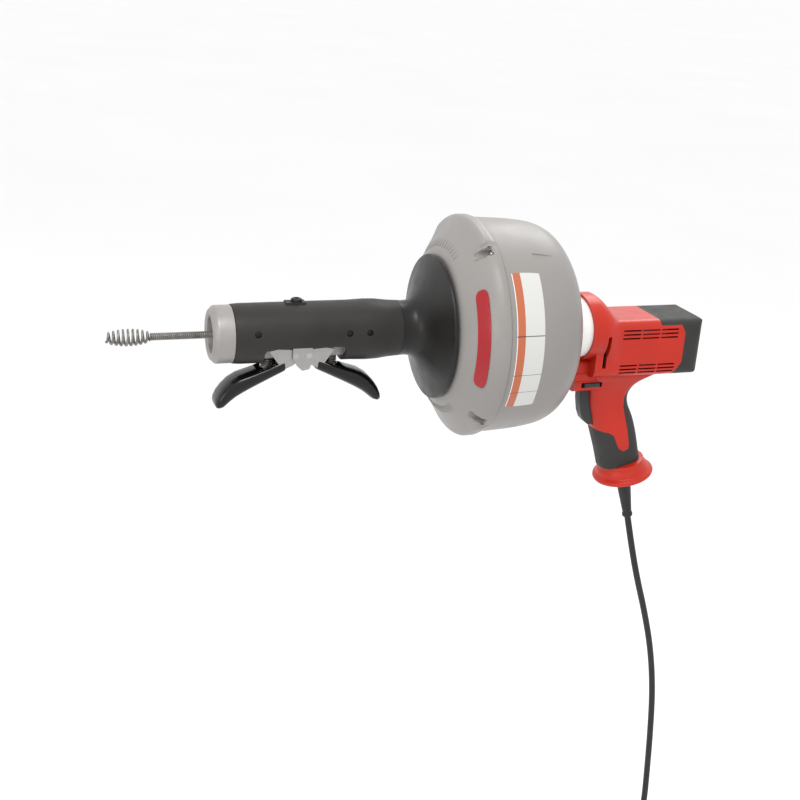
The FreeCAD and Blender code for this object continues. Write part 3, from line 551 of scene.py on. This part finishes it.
def cylinder(base: Vector, radius: float, length: float) -> Mesh:
    """Closed cylinder along +X that cuts a pocket.

    Args:
        base: centre of its front end, in metres.
        radius: mm.
        length: mm.

    Returns:
        The cutter's mesh.
    """
    built = bmesh.new()
    along = Vector((1, 0, 0))
    turn = Vector((0, 0, 1)).rotation_difference(along).to_matrix().to_4x4()
    centre = base + along * (length / 2 * MM)
    bmesh.ops.create_cone(built, cap_ends=True, segments=40, radius1=radius * MM, radius2=radius * MM,
                          depth=length * MM, matrix=Matrix.Translation(centre) @ turn)
    return closed(built)


def carved(mesh: Mesh, cutters: Sequence[Mesh]) -> Mesh:
    """Cut several closed meshes out of another.

    Args:
        mesh: what is cut.
        cutters: the tools.

    Returns:
        The result.
    """
    piece = linked("helper", mesh)
    tools = [linked("helper", c) for c in cutters]
    for tool in tools:
        cut = piece.modifiers.new("cut", "BOOLEAN")
        cut.operation = "DIFFERENCE"
        cut.solver = "EXACT"
        cut.object = tool
    result = baked(piece)
    for tool in tools:
        bpy.data.objects.remove(tool)
    return result


def bevelled(mesh: Mesh, width: float, segments: int = 2, angle: float = 35.0) -> Mesh:
    """Mesh with its sharp edges rounded; see softened() for the sizes."""
    piece = linked("helper", mesh)
    edge = piece.modifiers.new("edges", "BEVEL")
    edge.width = width * MM
    edge.segments = segments
    edge.limit_method = "ANGLE"
    edge.angle_limit = math.radians(angle)
    edge.use_clamp_overlap = False
    result = baked(piece)
    smooth(result, ROUNDED_SHARP)
    return result


def sticker(line: Profile, start: float, end: float, corner: float, lift: float,
            thickness: float) -> Mesh:
    """Thin patch that lies on a turned surface, with round corners and a UV map.

    Args:
        line: (x, r) points of the surface across the patch.
        start: first angle, degrees.
        end: last angle, degrees.
        corner: length of the rounding at each end, degrees.
        lift: height above the surface, mm.
        thickness: mm.

    Returns:
        The patch.
    """
    columns, end_power = 60, 2.6
    rows = len(line)
    built = bmesh.new()
    uv = built.loops.layers.uv.new("UVMap")
    where: dict[BMVert, tuple[float, float]] = {}
    rings = []
    for j, (x, r) in enumerate(line):
        across = 2 * j / (rows - 1) - 1
        edge = corner * (1 - math.sqrt(max(0.0, 1 - abs(across) ** end_power)))
        run = Vector(line[min(j + 1, rows - 1)]) - Vector(line[max(j - 1, 0)])
        normal = Vector((-run.y, run.x)).normalized()
        if normal.y < 0:
            normal.negate()
        ring = []
        for i in [*range(columns + 1), *range(columns, -1, -1)]:
            depth = lift if len(ring) <= columns else lift + thickness
            angle = (start + edge) + (end - start - 2 * edge) * (i / columns)
            vert = built.verts.new(around(x + normal.x * depth, r + normal.y * depth, angle))
            where[vert] = ((angle - start) / (end - start), j / (rows - 1))
            ring.append(vert)
        rings.append(ring)
    skinned(built, rings)
    for ring in (rings[0], rings[-1]):
        for i in range(columns):
            built.faces.new((ring[i], ring[i + 1], ring[-2 - i], ring[-1 - i]))
    for face in built.faces:
        for loop in face.loops:
            loop[uv].uv = where[loop.vert]
    mesh = closed(built)
    smooth(mesh, 50.0)
    return mesh


# ---- geometry node trees ----

class Graph(NodeTree):
    """A geometry node tree with named inputs, built in code."""

    def __init__(self, name: str, sizes: dict[str, float]) -> None:
        """Start a tree.

        Args:
            name: the tree's name.
            sizes: value of each named input; an int makes an integer socket.
        """
        super().__init__(bpy.data.node_groups.new(name, "GeometryNodeTree"))
        self.values: dict[str, float] = {}
        for label, value in sizes.items():
            kind = "NodeSocketInt" if isinstance(value, int) else "NodeSocketFloat"
            socket = self.tree.interface.new_socket(label, in_out="INPUT", socket_type=kind)
            self.values[socket.identifier] = value
        self.tree.interface.new_socket("Geometry", in_out="OUTPUT", socket_type="NodeSocketGeometry")
        self.inputs = self.tree.nodes.new("NodeGroupInput")

    def math(self, operation: str, *values) -> NodeSocket:
        """Value of a Math node on up to three values."""
        return self.add("ShaderNodeMath", dict(enumerate(values)), operation=operation).outputs[0]

    def size(self, label: str) -> NodeSocket:
        """Output of a named input."""
        return self.inputs.outputs[label]

    def mesh(self, geometry: NodeSocket, finish: Finish) -> Mesh:
        """Close the tree, run it and give its result as a plain mesh.

        Args:
            geometry: what the tree has made.
            finish: finish that its last node sets.

        Returns:
            The mesh.
        """
        real = self.add("GeometryNodeRealizeInstances", {"Geometry": geometry})
        shade = self.add("GeometryNodeSetShadeSmooth", {"Geometry": real.outputs["Geometry"]})
        dressed = self.add("GeometryNodeSetMaterial", {
            "Geometry": shade.outputs["Geometry"], "Material": finish.material()})
        self.add("NodeGroupOutput", {"Geometry": dressed.outputs["Geometry"]})
        piece = linked("helper", bpy.data.meshes.new("seed"))
        run = piece.modifiers.new("nodes", "NODES")
        run.node_group = self.tree
        for identifier, value in self.values.items():
            run[identifier] = value
        return baked(piece)


BULGE_POWER = 0.6            # below 1 the bulge rises fast at its ends


def wire_coil(name: str, turns: float, radius: float, wire: float, length: float, finish: Finish,
              bulge: float = 0.0, points: int = 20, sides: int = 8) -> Mesh:
    """Coil of wire along +Z from the origin, plain or with a bulge in its middle.

    Args:
        name: the node tree's name.
        turns: number of turns.
        radius: middle of the wire at the coil's ends, mm.
        wire: radius of the wire, mm.
        length: length of the coil, mm.
        finish: finish of the wire.
        bulge: how much larger the coil is in its middle, mm.
        points: points in a turn.
        sides: sides of the wire.

    Returns:
        The coil's mesh.
    """
    graph = Graph(name, {"Turns": turns, "Coil Radius": radius * MM, "Wire Radius": wire * MM,
                         "Length": length * MM, "Bulge": bulge * MM})
    radius_of_coil, height = graph.size("Coil Radius"), graph.size("Length")
    spiral = graph.add("GeometryNodeCurveSpiral", {
        "Resolution": points, "Rotations": graph.size("Turns"), "Start Radius": radius_of_coil,
        "End Radius": radius_of_coil, "Height": height})
    where = graph.add("ShaderNodeSeparateXYZ", {0: graph.add("GeometryNodeInputPosition").outputs[0]})
    x, y, z = where.outputs
    share = graph.math("DIVIDE", z, height)
    arch = graph.math("ABSOLUTE", graph.math("SINE", graph.math("MULTIPLY", share, math.pi)))
    swell = graph.math("MULTIPLY", graph.math("POWER", arch, BULGE_POWER), graph.size("Bulge"))
    scale = graph.math("ADD", 1.0, graph.math("DIVIDE", swell, radius_of_coil))
    moved = graph.add("ShaderNodeCombineXYZ", {
        0: graph.math("MULTIPLY", x, scale), 1: graph.math("MULTIPLY", y, scale), 2: z})
    shaped = graph.add("GeometryNodeSetPosition", {
        "Geometry": spiral.outputs[0], "Position": moved.outputs[0]})
    ring = graph.add("GeometryNodeCurvePrimitiveCircle", {
        "Resolution": sides, "Radius": graph.size("Wire Radius")})
    solid = graph.add("GeometryNodeCurveToMesh", {
        "Curve": shaped.outputs[0], "Profile Curve": ring.outputs[0], "Fill Caps": True})
    return graph.mesh(solid.outputs[0], finish)


def ray_ribs(name: str, start: float, middle: Vector, size: Vector, lean: float, finish: Finish,
             count: int = 15, step: float = 4.0) -> Mesh:
    """Row of small raised ribs that point away from the drum axis.

    Args:
        name: the node tree's name.
        start: angle of the first, degrees from the top.
        middle: (x, 0, r) of a rib's middle, mm.
        size: half sizes of a rib, mm: through, across and along the surface.
        lean: slope of the surface, degrees.
        finish: finish of the ribs.
        count: number of ribs.
        step: degrees between them.

    Returns:
        The ribs, in place.
    """
    graph = Graph(name, {"Count": count, "Start": math.radians(start), "Step": math.radians(step)})
    bead = graph.add("GeometryNodeMeshUVSphere", {"Segments": 10, "Rings": 8, "Radius": MM})
    long_bead = graph.add("GeometryNodeTransform", {
        "Geometry": bead.outputs[0], "Scale": size, "Rotation": (0.0, math.radians(lean), 0.0),
        "Translation": middle * MM})
    points = graph.add("GeometryNodeMeshLine", {"Count": graph.size("Count"), "Offset": (0.0, 0.0, 0.0)})
    index = graph.add("GeometryNodeInputIndex").outputs[0]
    angle = graph.math("ADD", graph.size("Start"), graph.math("MULTIPLY", index, graph.size("Step")))
    turn = graph.add("ShaderNodeCombineXYZ", {0: angle})
    row = graph.add("GeometryNodeInstanceOnPoints", {
        "Points": points.outputs[0], "Instance": long_bead.outputs[0], "Rotation": turn.outputs[0]})
    mesh = graph.mesh(row.outputs[0], finish)
    mesh.transform(Matrix.Translation(AXIS))
    return mesh


# ---- sub-assemblies ----

@dataclass
class View:
    """Camera and soft studio round the machine."""

    target: tuple[float, float, float] = (-65.023, 0, -83.237)   # machine mm
    distance: float = 1373.7
    azimuth: float = -20.232
    elevation: float = 20.055
    roll: float = 3.908
    lens: float = 56.51
    sensor: float = 36.0
    far: float = 200.0            # clip distance, m
    floor_gap: float = 12.0       # mm under the lowest piece
    floor_radius: float = 60.0    # m
    surround: float = 1.12        # strength of the white surroundings
    lights: tuple[tuple[str, tuple[float, float, float], float, float], ...] = (
        ("key", (-500.0, -900.0, 1500.0), 0.7, 17.0), ("fill", (-1500.0, -900.0, 300.0), 0.6, 4.0),
        ("rim", (900.0, 900.0, 1100.0), 0.7, 9.0))

    def camera(self) -> None:
        """Make the scene's camera."""
        a, e, roll = (math.radians(v) for v in (self.azimuth, self.elevation, self.roll))
        back = Vector((math.sin(a) * math.cos(e), -math.cos(a) * math.cos(e), math.sin(e)))
        level = Vector((math.cos(a), math.sin(a), 0.0))
        upright = back.cross(level)
        right = level * math.cos(roll) + upright * math.sin(roll)
        up = upright * math.cos(roll) - level * math.sin(roll)
        data = bpy.data.cameras.new("camera")
        data.lens = self.lens
        data.sensor_width = self.sensor
        data.clip_end = self.far
        camera = linked("camera", data)
        turn = Matrix((right, up, back)).transposed().to_4x4()
        camera.matrix_world = Matrix.Translation(place(*self.target) + back * self.distance * MM) @ turn
        bpy.context.scene.camera = camera

    def light(self, name: str, spot: tuple[float, float, float], size: float, watts: float) -> None:
        """Add one square soft light that faces the machine.

        Args:
            name: the light's name.
            spot: its place, machine mm.
            size: its side, m.
            watts: its power.
        """
        data = bpy.data.lights.new(name, "AREA")
        data.size = size
        data.energy = watts
        lamp = linked(name, data)
        lamp.location = place(*spot)
        aim = place(*self.target) - lamp.location
        lamp.rotation_mode = "QUATERNION"
        lamp.rotation_quaternion = aim.to_track_quat("-Z", "Y")

    def studio(self) -> None:
        """White surroundings and three soft lights."""
        bpy.context.scene.view_settings.view_transform = "Standard"
        world = bpy.data.worlds.new("studio")
        world.use_nodes = True
        background = world.node_tree.nodes["Background"]
        background.inputs["Color"].default_value = (1.0, 1.0, 1.0, 1.0)
        background.inputs["Strength"].default_value = self.surround
        bpy.context.scene.world = world
        for name, spot, size, watts in self.lights:
            self.light(name, spot, size, watts)

    def floor(self) -> None:
        """Lay a wide pale disc under everything."""
        height = CAD_BOX[0].z - self.floor_gap * MM
        built = bmesh.new()
        bmesh.ops.create_circle(built, cap_ends=True, segments=96, radius=self.floor_radius,
                                matrix=Matrix.Translation((0.0, 0.0, height)))
        mesh = bpy.data.meshes.new("floor")
        built.to_mesh(mesh)
        built.free()
        finish_object(linked("floor", mesh), PALE)

    def build(self) -> None:
        """Make the camera, lights and floor."""
        self.camera()
        self.studio()
        self.floor()


@dataclass
class MainsCord:
    """Mains cord, its stored coil, the tie, the strain relief and the plug."""

    route: tuple[tuple[float, float, float], ...] = (
        (239.52, 0, -250.02), (250.8, 0, -291), (265.5, 0, -338.5), (284.5, 0, -391),
        (301.5, 0, -447), (313.5, 0, -508), (320, 0, -572), (322.3, -3, -630),
        (322.7, -8, -690))
    tail: tuple[tuple[float, float, float], ...] = (
        (326.5, 0, -754), (328.8, 4, -774), (331, 9, -800))
    centre: tuple[float, float] = (278.5, -748)
    length: float = 1.92         # m, with the stored turns
    radius: float = 4.0
    inner: float = 40.0          # radius of the first three turns
    layer: float = 8.2
    start_gap: float = 4.4       # how much wider the first turn starts
    gap_share: float = 1 / 6     # part of a turn after which that is gone
    turns: int = 5
    steps: int = 16              # points in a turn
    lane_share: float = 0.25     # part of a turn that a lane change takes
    tie_half: tuple[float, float] = (8.9, 13)
    tie_size: tuple[float, float] = (1, 9)
    tie_sides: int = 40

    def coil(self) -> list[tuple[float, float, float]]:
        """Points of the stored turns: three side by side, then two round them."""
        points = []
        for i in range(1, self.turns * self.steps):
            turn = i / self.steps
            if turn < 3.0:
                y = self.layer * (min(math.floor(turn) + self.ease(turn % 1.0), 2.0) - 1.0)
                gap = self.start_gap * max(0.0, 1.0 - turn / self.gap_share)
                r = self.inner + gap + self.layer * self.ease(turn - 2.0)
            else:
                y = self.layer * (1.0 - self.ease(turn - 3.0))
                r = self.inner + self.layer
            angle = 2 * math.pi * turn
            points.append((self.centre[0] + r * math.cos(angle), y, self.centre[1] - r * math.sin(angle)))
        return points

    def ease(self, share: float) -> float:
        """How far a lane change at a turn's end has come, 0 to 1."""
        return eased((share - 1.0 + self.lane_share) / self.lane_share)

    def cord(self) -> Object:
        """Make the cord as one smooth spline from the strain relief to the plug.

        Returns:
            The cord.
        """
        points = [*self.route, *self.coil(), *self.tail]
        data = bpy.data.curves.new("mains_cord", "CURVE")
        data.dimensions = "3D"
        data.bevel_depth = self.radius * MM
        data.bevel_resolution = 5
        data.resolution_u = 8
        data.use_fill_caps = True
        spline = data.splines.new("NURBS")
        spline.points.add(len(points) - 1)
        for slot, point in zip(spline.points, points):
            slot.co = (*place(*point), 1.0)
        spline.order_u = 3
        spline.use_endpoint_u = True
        cord = finish_object(linked("mains_cord", data), CORD)
        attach(cord, "motor_unit")
        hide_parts("cord", "cord_coil")
        return cord

    def tie(self) -> Object:
        """Band that holds the stored turns together, on the far side from the cord's run.

        Returns:
            The band.
        """
        built = bmesh.new()
        (half_r, half_y), (thick, wide), sides = self.tie_half, self.tie_size, self.tie_sides
        rings = []
        for s in range(sides):
            su, sw = rounded_square(2 * math.pi * s / sides, 4.0)
            ring = []
            for depth, z in ((0, -wide / 2), (thick, -wide / 2), (thick, wide / 2), (0, wide / 2)):
                x = self.centre[0] - self.inner - self.layer / 2 + su * (half_r + depth)
                ring.append(built.verts.new(place(x, sw * (half_y + depth), self.centre[1] + z)))
            rings.append(ring)
        skinned(built, [*rings, rings[0]])
        return mesh_piece("cord_tie", bevelled(closed(built), 0.3), DARK_RUBBER, "motor_unit")

    def build(self) -> None:
        cord = self.cord()
        plug = softened("plug", 0.8)
        softened("strain_relief", 0.4)
        tie = self.tie()


@dataclass
class DrainCable:
    """Close-wound drain cable and its open bulb auger."""

    front: float = -336.0
    back: float = -30.0
    pitch: float = 2.0
    wire: float = 0.98
    outer: float = 4.0
    auger_turns: float = 9.0
    auger_r: float = 3.4
    auger_bulge: float = 4.3
    auger_wire: float = 1.25
    auger_length: float = 43.0

    def build(self) -> None:
        """Make both coils."""
        length = self.back - self.front
        coil = wire_coil("close_wound_cable", length / self.pitch, self.outer - self.wire, self.wire, length,
                         WIRE, points=18, sides=8)
        self.lay(coil, self.front)
        stand_in("drain_cable", coil, "cable")
        bulb = wire_coil("bulb_auger", self.auger_turns, self.auger_r, self.auger_wire, self.auger_length,
                         WIRE, bulge=self.auger_bulge, points=36, sides=12)
        self.lay(bulb, self.front - self.auger_length)
        stand_in("auger_coil", bulb, "bulb_auger")

    @staticmethod
    def lay(mesh: Mesh, x: float) -> None:
        """Turn a coil from +Z to the machine axis and start it at x."""
        mesh.transform(Matrix.Translation(place(x, 0.0, 0.0)) @ Matrix.Rotation(math.pi / 2, 4, "Y"))


@dataclass
class FeedHead:
    """Collar, barrel, feed body, levers, plungers and springs."""

    ring_front: float = -276.5
    ring_back: float = -254.3
    ring_r: float = 30.0
    hole_r: float = 19.5
    spring_top: float = -23.85
    spring_low: float = -35.05
    spring_turns: float = 4.0
    spring_r: float = 5.9
    spring_wire: float = 0.8
    feed_x: tuple[float, float] = (-216, -147)
    grip_points: int = 36
    grip_power: float = 2.9        # squareness of a section
    grip_edge: float = 0.7
    trough_half: float = 12.0
    grip_rings: tuple[tuple[float, ...], ...] = (
        (-200, -26.4, -198.3, -39.8, 15.2), (-206, -28.4, -202.6, -42, 15.4),
        (-213, -31.2, -208.5, -44.9, 15.4), (-222, -34.8, -216.5, -48.9, 15.4),
        (-232, -38.5, -225, -53.1, 15.6), (-240, -41, -233.5, -57.4, 16),
        (-247.5, -43.4, -241.5, -61.7, 16.2), (-256, -48.6, -249, -66.1, 16.2),
        (-263, -55.6, -254.6, -70.2, 16.2), (-267.8, -62.4, -258.4, -73.4, 16.2),
        (-270.6, -68.6, -261.4, -75.8, 15.8), (-271.2, -72.8, -265, -77, 14.4),
        (-270.6, -75.4, -267.4, -77.3, 11.6), (-269.8, -76.5, -268.6, -77.1, 8.4))
    trough: Profile = ((-190.0, -34.6), (-213.5, -41.4), (-226.0, -47.6), (-228.0, -44.0), (-228.5, -25.0),
                       (-190, -12))
    lift: float = 4.0
    lever_x: float = -181.5

    def collar(self) -> None:
        """Cast nose collar with a deep rounded mouth."""
        f, b, r, h = self.ring_front, self.ring_back, self.ring_r, self.hole_r
        outline = [(f + 0.6, h + 1.2), (f, h + 2.4), (f, r - 5.6), (f + 0.5, r - 4.3), (f + 3.9, r - 0.8),
                   (f + 5.2, r - 0.1), (f + 6.4, r), (b - 0.5, r), (b, r - 0.5), (b, 26.2), (-243.8, 26.2),
                   (-243.8, h), (f + 2, h)]
        mesh = turned(outline, 144)
        smooth(mesh, PLAIN_SHARP)
        stand_in("collar_casting", mesh, "nose_collar")

    def grip_mesh(self, sign: float) -> Mesh:
        """Fat rounded grip with an open trough at its root, where the plunger meets the lever.

        Args:
            sign: -1 for the front lever, 1 for the rear one.

        Returns:
            The closed mesh.
        """
        def at(x: float, y: float, z: float) -> Vector:
            """Point of the front grip, or its mirror image on the rear one."""
            return place(self.lever_x - sign * (x - self.lever_x), y, z)

        built = bmesh.new()
        rings = []
        for top_x, top_z, low_x, low_z, half in self.grip_rings:
            ring = []
            for i in range(self.grip_points):
                turn = 2 * math.pi * i / self.grip_points
                up, out = rounded_square(turn, self.grip_power)
                ring.append(built.verts.new(at((top_x + low_x + up * (top_x - low_x)) / 2, half * out,
                                               (top_z + low_z + up * (top_z - low_z)) / 2)))
            rings.append(ring)
        skinned(built, rings)
        built.faces.new(rings[0])
        built.faces.new(rings[-1])
        cut = bmesh.new()
        sides = [[cut.verts.new(at(x, y, z)) for x, z in self.trough]
                 for y in (-self.trough_half, self.trough_half)]
        skinned(cut, sides)
        for side in sides:
            cut.faces.new(side)
        return carved(closed(built), [closed(cut)])

    def grips(self) -> None:
        """Dipped vinyl grips over the ends of the two steel levers."""
        for side, sign in (("front", -1.0), ("rear", 1.0)):
            node = side + "_lever_grip"
            stand_in(node + "_dipped", bevelled(self.grip_mesh(sign), self.grip_edge, 2, ROUNDED_SHARP), node)

    def springs(self) -> None:
        """Return springs round the two plunger stems."""
        length = self.spring_top - self.spring_low
        for label, x in zip(("front", "rear"), self.feed_x):
            coil = wire_coil(label + "_spring_wire", self.spring_turns, self.spring_r, self.spring_wire,
                             length - 2 * self.spring_wire, WIRE, points=28, sides=10)
            coil.transform(Matrix.Translation(place(x, 0.0, self.spring_low + self.spring_wire)))
            piece = stand_in(label + "_return_spring", coil, label + "_spring")
            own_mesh(piece)

    def build(self) -> None:
        """Make every visible piece of the feed head."""
        self.collar()
        for node in ("barrel_sleeve", "feed_body", "lever_bracket"):
            softened(node)
        self.springs()
        for side in ("front", "rear"):
            softened(side + "_lever")
            softened(side + "_plunger")
        self.grips()


@dataclass
class Drum:
    """Guard cone, drum cover, bowl, badge and label."""

    face: tuple[tuple[float, float], ...] = (
        (-34.2, 36), (-33.2, 60), (-31, 77.5), (-26.5, 88), (-20.5, 98), (-13.5, 107.3),
        (-7.5, 113.4), (-2.5, 116.6), (1.5, 118))
    bowl_line: tuple[tuple[float, float], ...] = (
        (9, 116.8), (30, 116), (52, 114.6), (67, 112.6), (75, 110.9), (82.5, 108),
        (89.5, 103.6), (96, 97), (102, 88), (107, 77), (110.5, 64), (112, 48))
    lug_middle: tuple[float, float] = (-4.9, 170.9)
    lug_half: float = 34.1         # degrees each side
    lug_end: float = 1.6           # degrees that a lug's end takes to rise
    lug_root: float = 98.0         # radius where a lug starts
    lug_corner: float = 0.75       # where its corner lies, as a share of the shoulder
    pocket_angles: tuple[float, ...] = (32.5, 133.5, 208.3, 317.7)
    pocket_middles: tuple[float, float] = (109.8, 115)
    pocket_r: float = 5.2
    pocket_x: tuple[float, float] = (-24, 0.5)
    solid_r: float = 99.0          # the cover's wall is solid outside this radius
    badge_span: tuple[float, float] = (53, 110)
    badge_rs: tuple[float, float] = (97.5, 109.5)
    label_span: tuple[float, float] = (46.5, 120)
    label_xs: tuple[float, float] = (13, 46)
    wedge_angles: tuple[float, ...] = (36, 156, 276)
    wedge_ends: tuple[tuple[float, float, float], ...] = ((44, 3.4, 2), (80, 0.5, 0.2))
    rib_rows: tuple[tuple[str, float], ...] = (("upper_ribs", -36), ("lower_ribs", 146))
    rib_middle: tuple[float, float, float] = (-25.2, 0, 90.5)
    rib_half: tuple[float, float, float] = (0.7, 0.8, 5)
    rib_lean: float = 31.0

    def lug(self, degrees: float) -> float:
        """How far a lug stands out at an angle, 0 to 1."""
        nearest = min(abs((degrees - m + 180.0) % 360.0 - 180.0) for m in self.lug_middle)
        return eased((self.lug_half - nearest) / self.lug_end)

    def with_lugs(self, x: float, r: float, degrees: float) -> tuple[float, float]:
        """Push the cover's shoulder out at the lugs.

        Args:
            x: place along the axis, mm.
            r: radius, mm.
            degrees: angle from the top.

        Returns:
            The new (x, r).
        """
        root, corner = self.lug_root, self.lug_corner
        if r < root or x > self.face_x(r) + 1.3:
            return x, r
        share = (r - root) / (self.face[-1][1] - root)
        if share < corner:
            far_r = root + share / corner * 20.6
            far_x = -20.5 + 0.6 * (far_r - root)
        else:
            edge = (share - corner) / (1.0 - corner)
            far_r, far_x = 118.6 + min(6.0 * edge, 1.4), -8.1 + 9.6 * edge
        rise = self.lug(degrees)
        return x + (far_x - x) * rise, r + (far_r - r) * rise

    def face_x(self, r: float) -> float:
        """Place along the axis of the cover's outside at a radius, mm."""
        for (x0, r0), (x1, r1) in zip(self.face, self.face[1:]):
            if r <= r1:
                return x0 + (x1 - x0) * (r - r0) / (r1 - r0)
        return self.face[-1][0]

    def cover(self) -> None:
        """Front half of the drum, with two lugs and four screw pockets."""
        front = flowing(self.face, 4)
        inside = [(x + 2.7, r - 1.6) for x, r in reversed(front[1:-2]) if r < self.solid_r]
        rim = [(7, 118.2), (7.5, 117.8), (7.5, 113), (3.5, 112.6), (3.5, self.solid_r)]
        outline = front + rim + inside + [(-31.4, 36.0)]
        mesh = turned(outline, 360, self.with_lugs)
        start, end = self.pocket_x
        mesh = carved(mesh, [cylinder(around(start, r, angle), self.pocket_r, end - start)
                             for angle in self.pocket_angles for r in self.pocket_middles])
        stand_in("cover_shell", bevelled(mesh, 0.5, 2, ROUNDED_SHARP), "drum_cover")

    def bowl(self) -> None:
        """Back half of the drum with three shallow wedges pressed in."""
        line = flowing(self.bowl_line, 5)
        inside = [(x - 1.5, r - 3.0) for x, r in reversed(line[3:-1])]
        front, back = [(7.8, 104), (7.8, 116.4), (8.2, 116.8)], [(112, 20), (109, 20), (109, 46)]
        outline = [*front, *line, *back, *inside, (8.6, 108)]
        mesh = turned(outline, 180)
        wedges = []
        surface, outside, taper, girth = 116.5, 130.0, 0.14, 115.0
        first_x = self.wedge_ends[0][0]
        for angle in self.wedge_angles:
            built = bmesh.new()
            corners = []
            for x, half, deep in self.wedge_ends:
                for side in (-1, 1):
                    edge = angle + side * math.degrees(half / girth)
                    for r in (surface - deep - (x - first_x) * taper, outside):
                        corners.append(built.verts.new(around(x, r, edge)))
            for quad in ((0, 1, 3, 2), (4, 6, 7, 5), (0, 4, 5, 1), (2, 3, 7, 6), (0, 2, 6, 4), (1, 5, 7, 3)):
                built.faces.new([corners[i] for i in quad])
            wedges.append(closed(built))
        mesh = carved(mesh, wedges)
        smooth(mesh, 30.0)
        stand_in("bowl_shell", mesh, "drum_bowl")

    def cone(self) -> None:
        """Black guard cone that flares from the barrel, with a thin rolled rim."""
        outer = flowing([(-75.7, 29.6), (-70.0, 29.2), (-64.5, 29.5), (-60.0, 31.0), (-56.0, 34.6),
                         (-52, 41), (-48, 49.5), (-44, 59.5), (-40.6, 69), (-38.6, 75)], 5)
        rim = [(-38.3, 76.2), (-38, 77.2), (-37.2, 77.8), (-36.2, 77.9), (-34.8, 77.9), (-34.3, 77.5),
               (-34.3, 75.4)]
        inner = [(-35.9, 71), (-39.4, 60), (-43.4, 49.5), (-47.4, 41), (-51.9, 33), (-56.9, 26.8),
                 (-75.7, 26.8)]
        mesh = turned(outer + rim + inner, 180)
        smooth(mesh, 34.0)
        stand_in("cone_shell", mesh, "guard_cone")

    def badge(self) -> None:
        """Blank red badge on the cover's slope."""
        low, high = self.badge_rs
        line = [(x, r) for x, r in flowing(self.face, 24) if low <= r <= high]
        mesh = sticker(line, *self.badge_span, corner=5.0, lift=0.15, thickness=0.7)
        mesh_piece("blank_badge", mesh, BADGE, "drum")

    def label(self) -> None:
        """Blank label round the bowl's near side."""
        low, high = self.label_xs
        line = [(x, r) for x, r in flowing(self.bowl_line, 24) if low <= x <= high]
        mesh = sticker(line, *self.label_span, corner=0.6, lift=0.05, thickness=0.2)
        mesh_piece("blank_label", mesh, LABEL, "drum")

    def ribs(self) -> None:
        """Two rows of small plain ribs on the cover, above and below."""
        for name, start in self.rib_rows:
            mesh = ray_ribs(name, start, Vector(self.rib_middle), Vector(self.rib_half), self.rib_lean, DRUM)
            mesh_piece(name, mesh, DRUM, "drum")

    def build(self) -> None:
        """Make every visible piece of the drum."""
        self.cone()
        self.cover()
        self.bowl()
        self.badge()
        self.label()
        self.ribs()
        softened("drum_screws", 0.25)


@dataclass
class MotorUnit:
    """Gear case, housing, rear cap, grip and controls."""

    def build(self) -> None:
        """Make every visible piece of the motor unit."""
        for node in ("gear_case", "housing_left", "housing_right", "rear_cap", "grip_overmould"):
            softened(node)
        softened("grip_flange", 0.6, 3, 28.0)
        softened("trigger", 0.6)
        softened("reverse_slide", 1.0, 3)


def dress_the_rest() -> None:
    """Give each node that still shows its finish."""
    for name, node in frame["nodes"].items():
        if not node.hide_render:
            finish_object(node, finish_of(name))


def main() -> None:
    """Build the scene in order."""
    logging.basicConfig(level=logging.INFO, format="%(message)s")
    View().build()
    MainsCord().build()
    DrainCable().build()
    FeedHead().build()
    Drum().build()
    MotorUnit().build()
    dress_the_rest()


if __name__ == "__main__":
    main()
